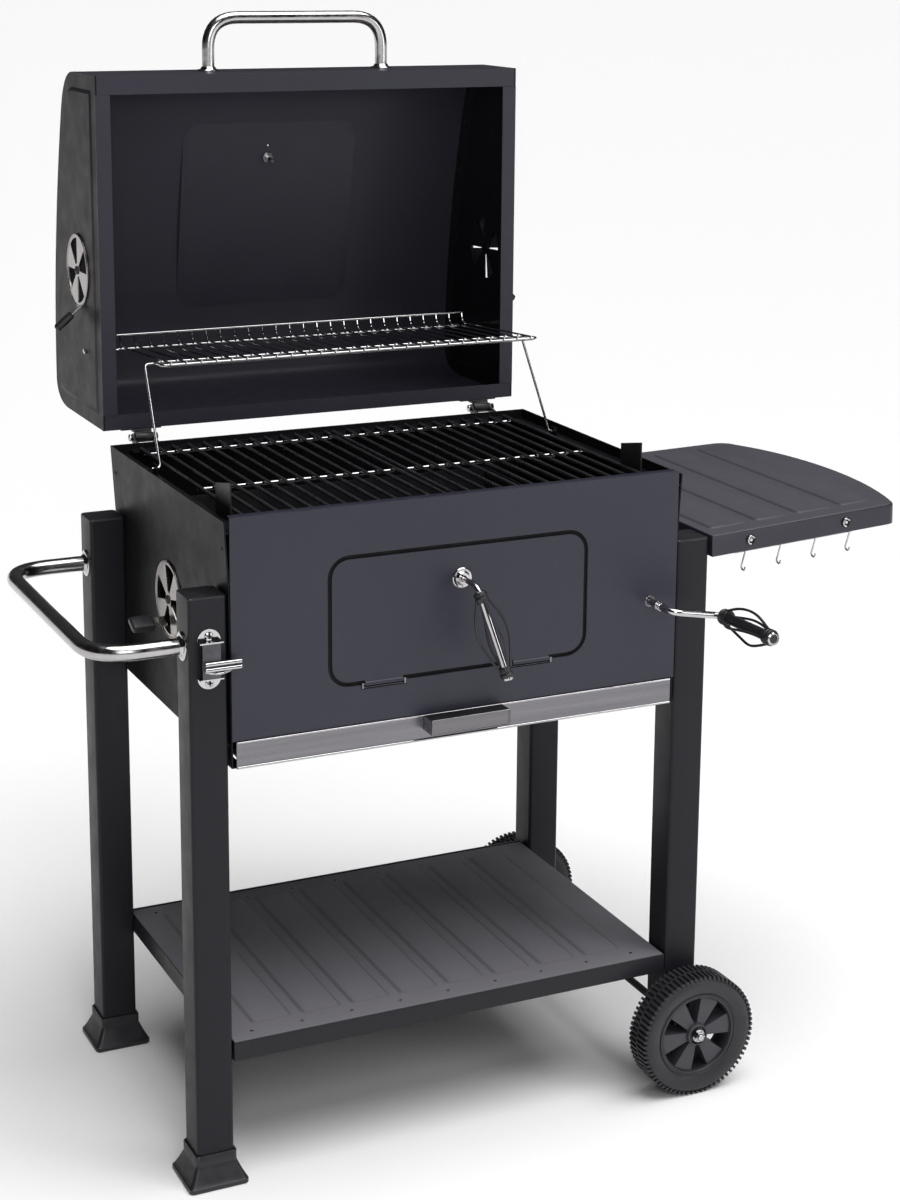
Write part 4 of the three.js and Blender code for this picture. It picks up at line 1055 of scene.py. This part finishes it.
def make_tyre(node, centre, inward, radius, width):
    """The tyre and rim, a rib round the middle of the tread and a row of lugs on each side of it."""
    axis = (0, inward, 0)
    tread, middle, rib_top = radius - 3.2, width / 2, radius - 0.2
    tyre = Shape()
    rim = [(RIM_RADIUS, 12), (50.8, 7), (52, 5.4), (55, 5.2), (55.6, 3.8), (57.0, 3.8), (57.6, 5.0)]
    wall = [(60, 3.6), (66, 1.4), (72, 0.7), (77, 2.2), (tread, 5.5)]
    back = [(tread, 5.5), (77, 2.2), (70, 0.6), (58, 4), (52, 8), (RIM_RADIUS, 12)]
    profile = rim + wall + [(r, width - y) for r, y in back] + rim[:1]
    tyre.lathe(profile, centre, axis, 96)
    rib = [(tread - 0.5, -1.3), (rib_top, -0.9), (rib_top, 0.9), (tread - 0.5, 1.3), (tread - 0.5, -1.3)]
    tyre.lathe([(r, middle + y) for r, y in rib], centre, axis, 96)
    for row, shoulder, way, rib_side in ((0, 1.6, 1, middle - 1.2), (1, width - 1.6, -1, middle + 1.2)):
        lug = [(shoulder, 78.5), (shoulder + way * 1.5, radius - 0.3), (rib_side, radius),
               (rib_side, tread - 0.6), (shoulder + way * 4, tread - 0.6)]
        for i in range(LUGS):
            angle = 2 * math.pi * (i + 0.5 * row) / LUGS
            tyre.rings([[centre + Vector((r * math.cos(a), inward * y, r * math.sin(a))) for y, r in lug]
                        for a in (angle - LUG_HALF, angle + LUG_HALF)])
    piece(node + "_tyre", tyre, TYRE, node, node, 0, 35)


def make_hub(node, centre, inward):
    """A turned hub with its wedge-shaped spokes."""
    hub = Shape()
    spread = math.radians(16)
    reach = RIM_RADIUS + 0.4
    wedge = [(reach, spread * share) for share in (-1, -0.5, 0, 0.5, 1)]
    wedge = [(13.5, -spread * 1.5), *wedge, (13.5, spread * 1.5)]
    for i in range(SPOKES):
        flat = [polar(r, spoke_angle(i) + a) for r, a in wedge]
        hub.rings([[centre + Vector((x, inward * y, z)) for x, z in flat] for y in (9, 34)])
    nose = [(5.5, 9), (11, 9), (12, 4.5), (13, 4), (14.5, 5), (15.5, 9)]
    hub.lathe([*nose, (15.5, 42), (14, 44.6), (5.5, 44.6), (5.5, 9)], centre, (0, inward, 0), 48)
    piece(node + "_hub", hub, LIGHTENED_HUB_PLASTIC, node, bevel=0.7)


def make_web(node, centre, inward):
    """The sheet behind the spokes, with an opening between each two."""
    web = Shape()
    holes = [circle(15, 24)]
    opening = [(20, 0), (47, 0), (47, 0.12), (47, 0.24), (20, 0.4)]
    for i in range(SPOKES):
        start = spoke_angle(i) + math.radians(17)
        holes.append([polar(r, start + a) for r, a in opening])
    web.plate(circle(51, 48), 31, 34, lambda u, v, y: centre + Vector((u, inward * y, v)), holes)
    piece(node + "_web", web, TYRE, node, bevel=0.4)


def make_axle_nut(node, centre, inward):
    """A nut on the axle's threaded end, over a washer."""
    outward = (0, -inward, 0)
    seat = centre + Vector((0, inward * 3.4, 0))
    nut = Shape()
    hex_nut(nut, seat, outward, 7.6, 5.6)
    nut.lathe([(0, -1), (4.6, -1), (4.6, 6.4), (3.8, 7.2), (0, 7.2)], seat, outward, 24)
    washer = [(5.2, 0), (8.6, 0), (8.6, 1.2), (5.2, 1.2), (5.2, 0)]
    nut.lathe(washer, centre + Vector((0, inward * 4, 0)), outward, 32)
    piece(node + "_hex", nut, CHROME, "cart", node)


# ---------------- push handle and bottle opener
def make_side_handle():
    box = Span("side_handle")
    radius = 10
    out, root, z = box.x0 + radius, box.x1, box.mid.z
    near, far = box.y0 + radius, box.y1 - radius
    tube = Shape()
    tube.tube(rounded([(root, near, z), (out, near, z), (out, far, z), (root, far, z)], 58, 12), radius, 28)
    piece("side_handle_tube", tube, TUBE, "cart", "side_handle")
    for name, y in (("front", near), ("rear", far)):
        node = f"side_handle_rosette_{name}"
        plate = Shape()
        rosette(plate, (root, y, z), (-1, 0, 0), 17.5, radius + 0.2, 6)
        piece(node + "_turned", plate, CHROME, "cart", node)


def make_opener():
    """Two half-round lugs on the leg, a bridge standing off them and a rolled jaw across it."""
    box = Span("bottle_opener")
    lug, face = 14.5, 4.0
    x = box.x0 + lug
    high, low = box.z1 - 15, box.z0 + 17
    opener = Shape()
    for z, way in ((high, 1), (low, -1)):
        half_round = [polar(lug, math.pi * k / 16) for k in range(17)]
        opener.plate([(x + u, z + way * v) for u, v in half_round], -face + 0.1, -face + 1.7, facing)
        opener.box((x - lug, -8.5, z - 0.9), (x + lug, face - 0.1, z + 0.9))
    bridge = Shape()
    bridge.box((x - 11.5, -8.4, low), (x + 11, -6.9, high))
    groove, lip = box.z0 + 34, box.z0 + 25
    for z in (groove - 3.4, groove + 3.4):
        opener.tube([(x - 10, -12.6, z), (x + 34.5, -12.6, z)], 2.6, 14)
    bridge.box((x - 10, -11.4, groove - 4), (x + 33, -8.4, groove + 4))
    curl = [(-9, -9, 3), (-2, -12, 1), (8, -13.4, 0), (20, -12, 2), (27, -10, 7)]
    opener.tube(rounded([(x + u, y, lip + v) for u, y, v in curl], 3, 4), 1.5, 10)
    # The bridge is formed with the chrome opener; its darkened chrome is painted shade for the dark
    # surroundings it reflects.
    piece("bottle_opener_bridge", bridge, DARKENED_CHROME, "cart", bevel=0.3)
    piece("bottle_opener_formed", opener, CHROME, "cart", "bottle_opener", 0.4)
    screws, recesses = Shape(), Shape()
    for z in (box.z1 - 9, box.z0 + 10):
        dome_screw(screws, (x, face - 1.6, z), (0, -1, 0), 5.6, 2.4)
        for wide, tall in ((3.4, 1.0), (1.0, 3.4)):
            recesses.box((x - wide, face - 3.9, z - tall), (x + wide, face - 3.0, z + tall))
    piece("opener_screws", screws, CHROME, "cart")
    piece("opener_screw_recesses", recesses, CAVITY, "cart", bevel=0.3)


# ---------------- side table, rail and hooks
table = Span("side_table")
TABLE_LIP, TABLE_TILT = 28, math.radians(1.7)
FRONT_TAPER, REAR_TAPER = 22, 9
TABLE_CORNER = table.x1 - 36.3
TABLE_MARGIN, TABLE_STEP, HALF_GROOVE = 26, 2.0, 3.5
RAIL_SETBACK, RAIL_DROP = 9, 30


def table_space(x, y, height):
    """Points on the tilted table: height is measured up from its top."""
    run = x - table.x0
    root_z = table.z1 - math.sin(TABLE_TILT) * (table.x1 - table.x0)
    return Vector((table.x0 + run * math.cos(TABLE_TILT) - height * math.sin(TABLE_TILT), y,
                   root_z + run * math.sin(TABLE_TILT) + height * math.cos(TABLE_TILT)))


def table_front(x):
    return table.y0 + FRONT_TAPER * (x - table.x0) / (TABLE_CORNER - table.x0)


def table_rear(x):
    return table.y1 - REAR_TAPER * (x - table.x0) / (TABLE_CORNER - table.x0)



def table_edge():
    """The bowed outer edge, from the front corner to the rear one."""
    corner, bow, bend = TABLE_CORNER, 35.6, 130
    reach = corner + bow / 0.75
    front, rear = table_front(corner), table_rear(corner)
    first, last = (corner + 4, front + 12), (corner, rear - 24)
    return cubic(first, (reach, front + bend), (reach, rear - bend), last, 24)


def table_outline():
    """Tapered sides, a bowed outer edge and round corners."""
    corner, edge = TABLE_CORNER, table_edge()
    front_start, rear_end = corner - 12, corner - 29
    front_corner, rear_corner = (corner, table_front(corner)), (corner - 5, table_rear(corner))
    outline = [(table.x0, table_front(table.x0))]
    outline += quadratic((front_start, table_front(front_start)), front_corner, edge[0], 6)[:-1]
    outline += edge
    outline += quadratic(edge[-1], rear_corner, (rear_end, table_rear(rear_end)), 6)[1:]
    return outline + [(table.x0, table_rear(table.x0))]


def panel_front(x):
    return x, table_front(x) + TABLE_MARGIN


def panel_rear(x):
    return x, table_rear(x) - TABLE_MARGIN


def bowed_side():
    """The last panel's outer side: the table's edge moved inwards, between its front and rear sides."""
    bowed, edge = [], table_edge()
    for before, here, after in zip(edge, edge[1:], edge[2:]):
        run = (Vector(after) - Vector(before)).normalized()
        x, y = Vector(here) + Vector((-run.y, run.x)) * (TABLE_MARGIN - 4)
        if panel_front(x)[1] < y < panel_rear(x)[1]:
            bowed.append((x, y))
    first, last = bowed[0][0], bowed[-1][0]
    return [(first - 3, panel_front(first)[1]), *bowed, (last - 3, panel_rear(last)[1])]


def make_table():
    outline = table_outline()
    top = Shape()
    top.pan(outline, 0, TABLE_LIP, table_space, 3.5)
    grooves = [table.x0 + run for run in (10, 82, 149, 222)]
    for left, right in zip(grooves, grooves[1:]):
        x0, x1 = left + HALF_GROOVE, right - HALF_GROOVE
        corners = [panel_front(x0), panel_front(x1), panel_rear(x1), panel_rear(x0)]
        top.pressing(round_corners(corners, 12), 0, TABLE_STEP, 5, table_space)
    x0 = grooves[-1] + HALF_GROOVE
    corners = [panel_front(x0), *bowed_side(), panel_rear(x0)]
    top.pressing(round_corners(corners, 12, 3), 0, TABLE_STEP, 5, table_space)
    piece("side_table_pressed", top, TABLE_COAT, "cart", "side_table", 0, 30)
    bolts = Shape()
    for y in (16, 34, table.y1 - 34, table.y1 - 16):
        for drop in (-9, -20):
            z = table_space(table.x0, y, drop).z
            profile = [(0, 0), (3, 0), (3, 2.6), (5.5, 2.6), (5.5, 0.8), (0, 0.8)]
            bolts.lathe(profile, (table.x0 - 1.8, y, z), (-1, 0, 0), 16)
    piece("side_table_bolts", bolts, CHROME, "cart")
    make_rail()


def rail_line(x):
    """A point on the middle of the rail, under the table's front lip."""
    return Vector((x, table_front(x) + RAIL_SETBACK, table_space(x, 0, 0).z - RAIL_DROP))


def make_rail():
    rail = Span("hook_rail")
    overhang = 18
    inner, outer = rail.x0 + overhang, rail.x1 - overhang
    rod = Shape()
    start, end = rail_line(inner), rail_line(outer)
    along = (end - start).normalized() * overhang
    rod.tube([start - along, start - along * 0.97, end + along * 0.97, end + along],
             lambda share: 1.5 if share in (0, 1) else 2, 16)
    holes = Shape()
    for x in (inner, outer):
        mouth = Vector((x, table_front(x), table_space(x, 0, 0).z - 14))
        back = mouth + Vector((0, RAIL_SETBACK, 0))
        rod.tube(rounded([mouth + Vector((0, -2, 0)), back, rail_line(x)], 4, 5), 2, 12)
        turns = [math.radians(-80 + 12 * k) for k in range(20)]
        rod.tube([mouth + Vector((-5 * math.cos(a), -2.4, 5 * math.sin(a))) for a in turns], 1.5, 10)
        holes.lathe([(0, 0.1), (7, 0.1), (7, 0.6), (0, 0.6)], mouth, (0, -1, 0), 28)
    piece("hook_rail_wire", rod, CHROME, "cart", "hook_rail")
    piece("hook_rail_holes", holes, CAVITY, "cart")
    for i in range(4):
        make_hook(f"utensil_hook_{i + 1}")


def make_hook(node):
    """A loop round the rail, and an open mouth below it."""
    centre = rail_line(Span(node).mid.x)
    loop, mouth, drop = 3.8, 4.5, 22
    path = [centre + Vector((0, loop * math.cos(a), loop * math.sin(a)))
            for a in (math.radians(-20 + 20 * k) for k in range(11))]
    path += [centre + Vector((0, mouth * math.cos(a), -drop - mouth * math.sin(a)))
             for a in (math.radians(19 * k) for k in range(11))]
    hook = Shape()
    hook.tube(path, 1.2, 10)
    piece(node + "_wire", hook, CHROME, node, node)


# ---------------- the whole cart
make_lid()
make_rack()
make_grates()
make_firebox()
make_door_handle()
make_crank()
make_drawer()
make_legs()
make_shelf()
for wheel_name in ("front", "rear"):
    make_wheel(wheel_name)
dress("axle", DARK, 0.6, curved=True)
make_side_handle()
make_opener()
make_table()
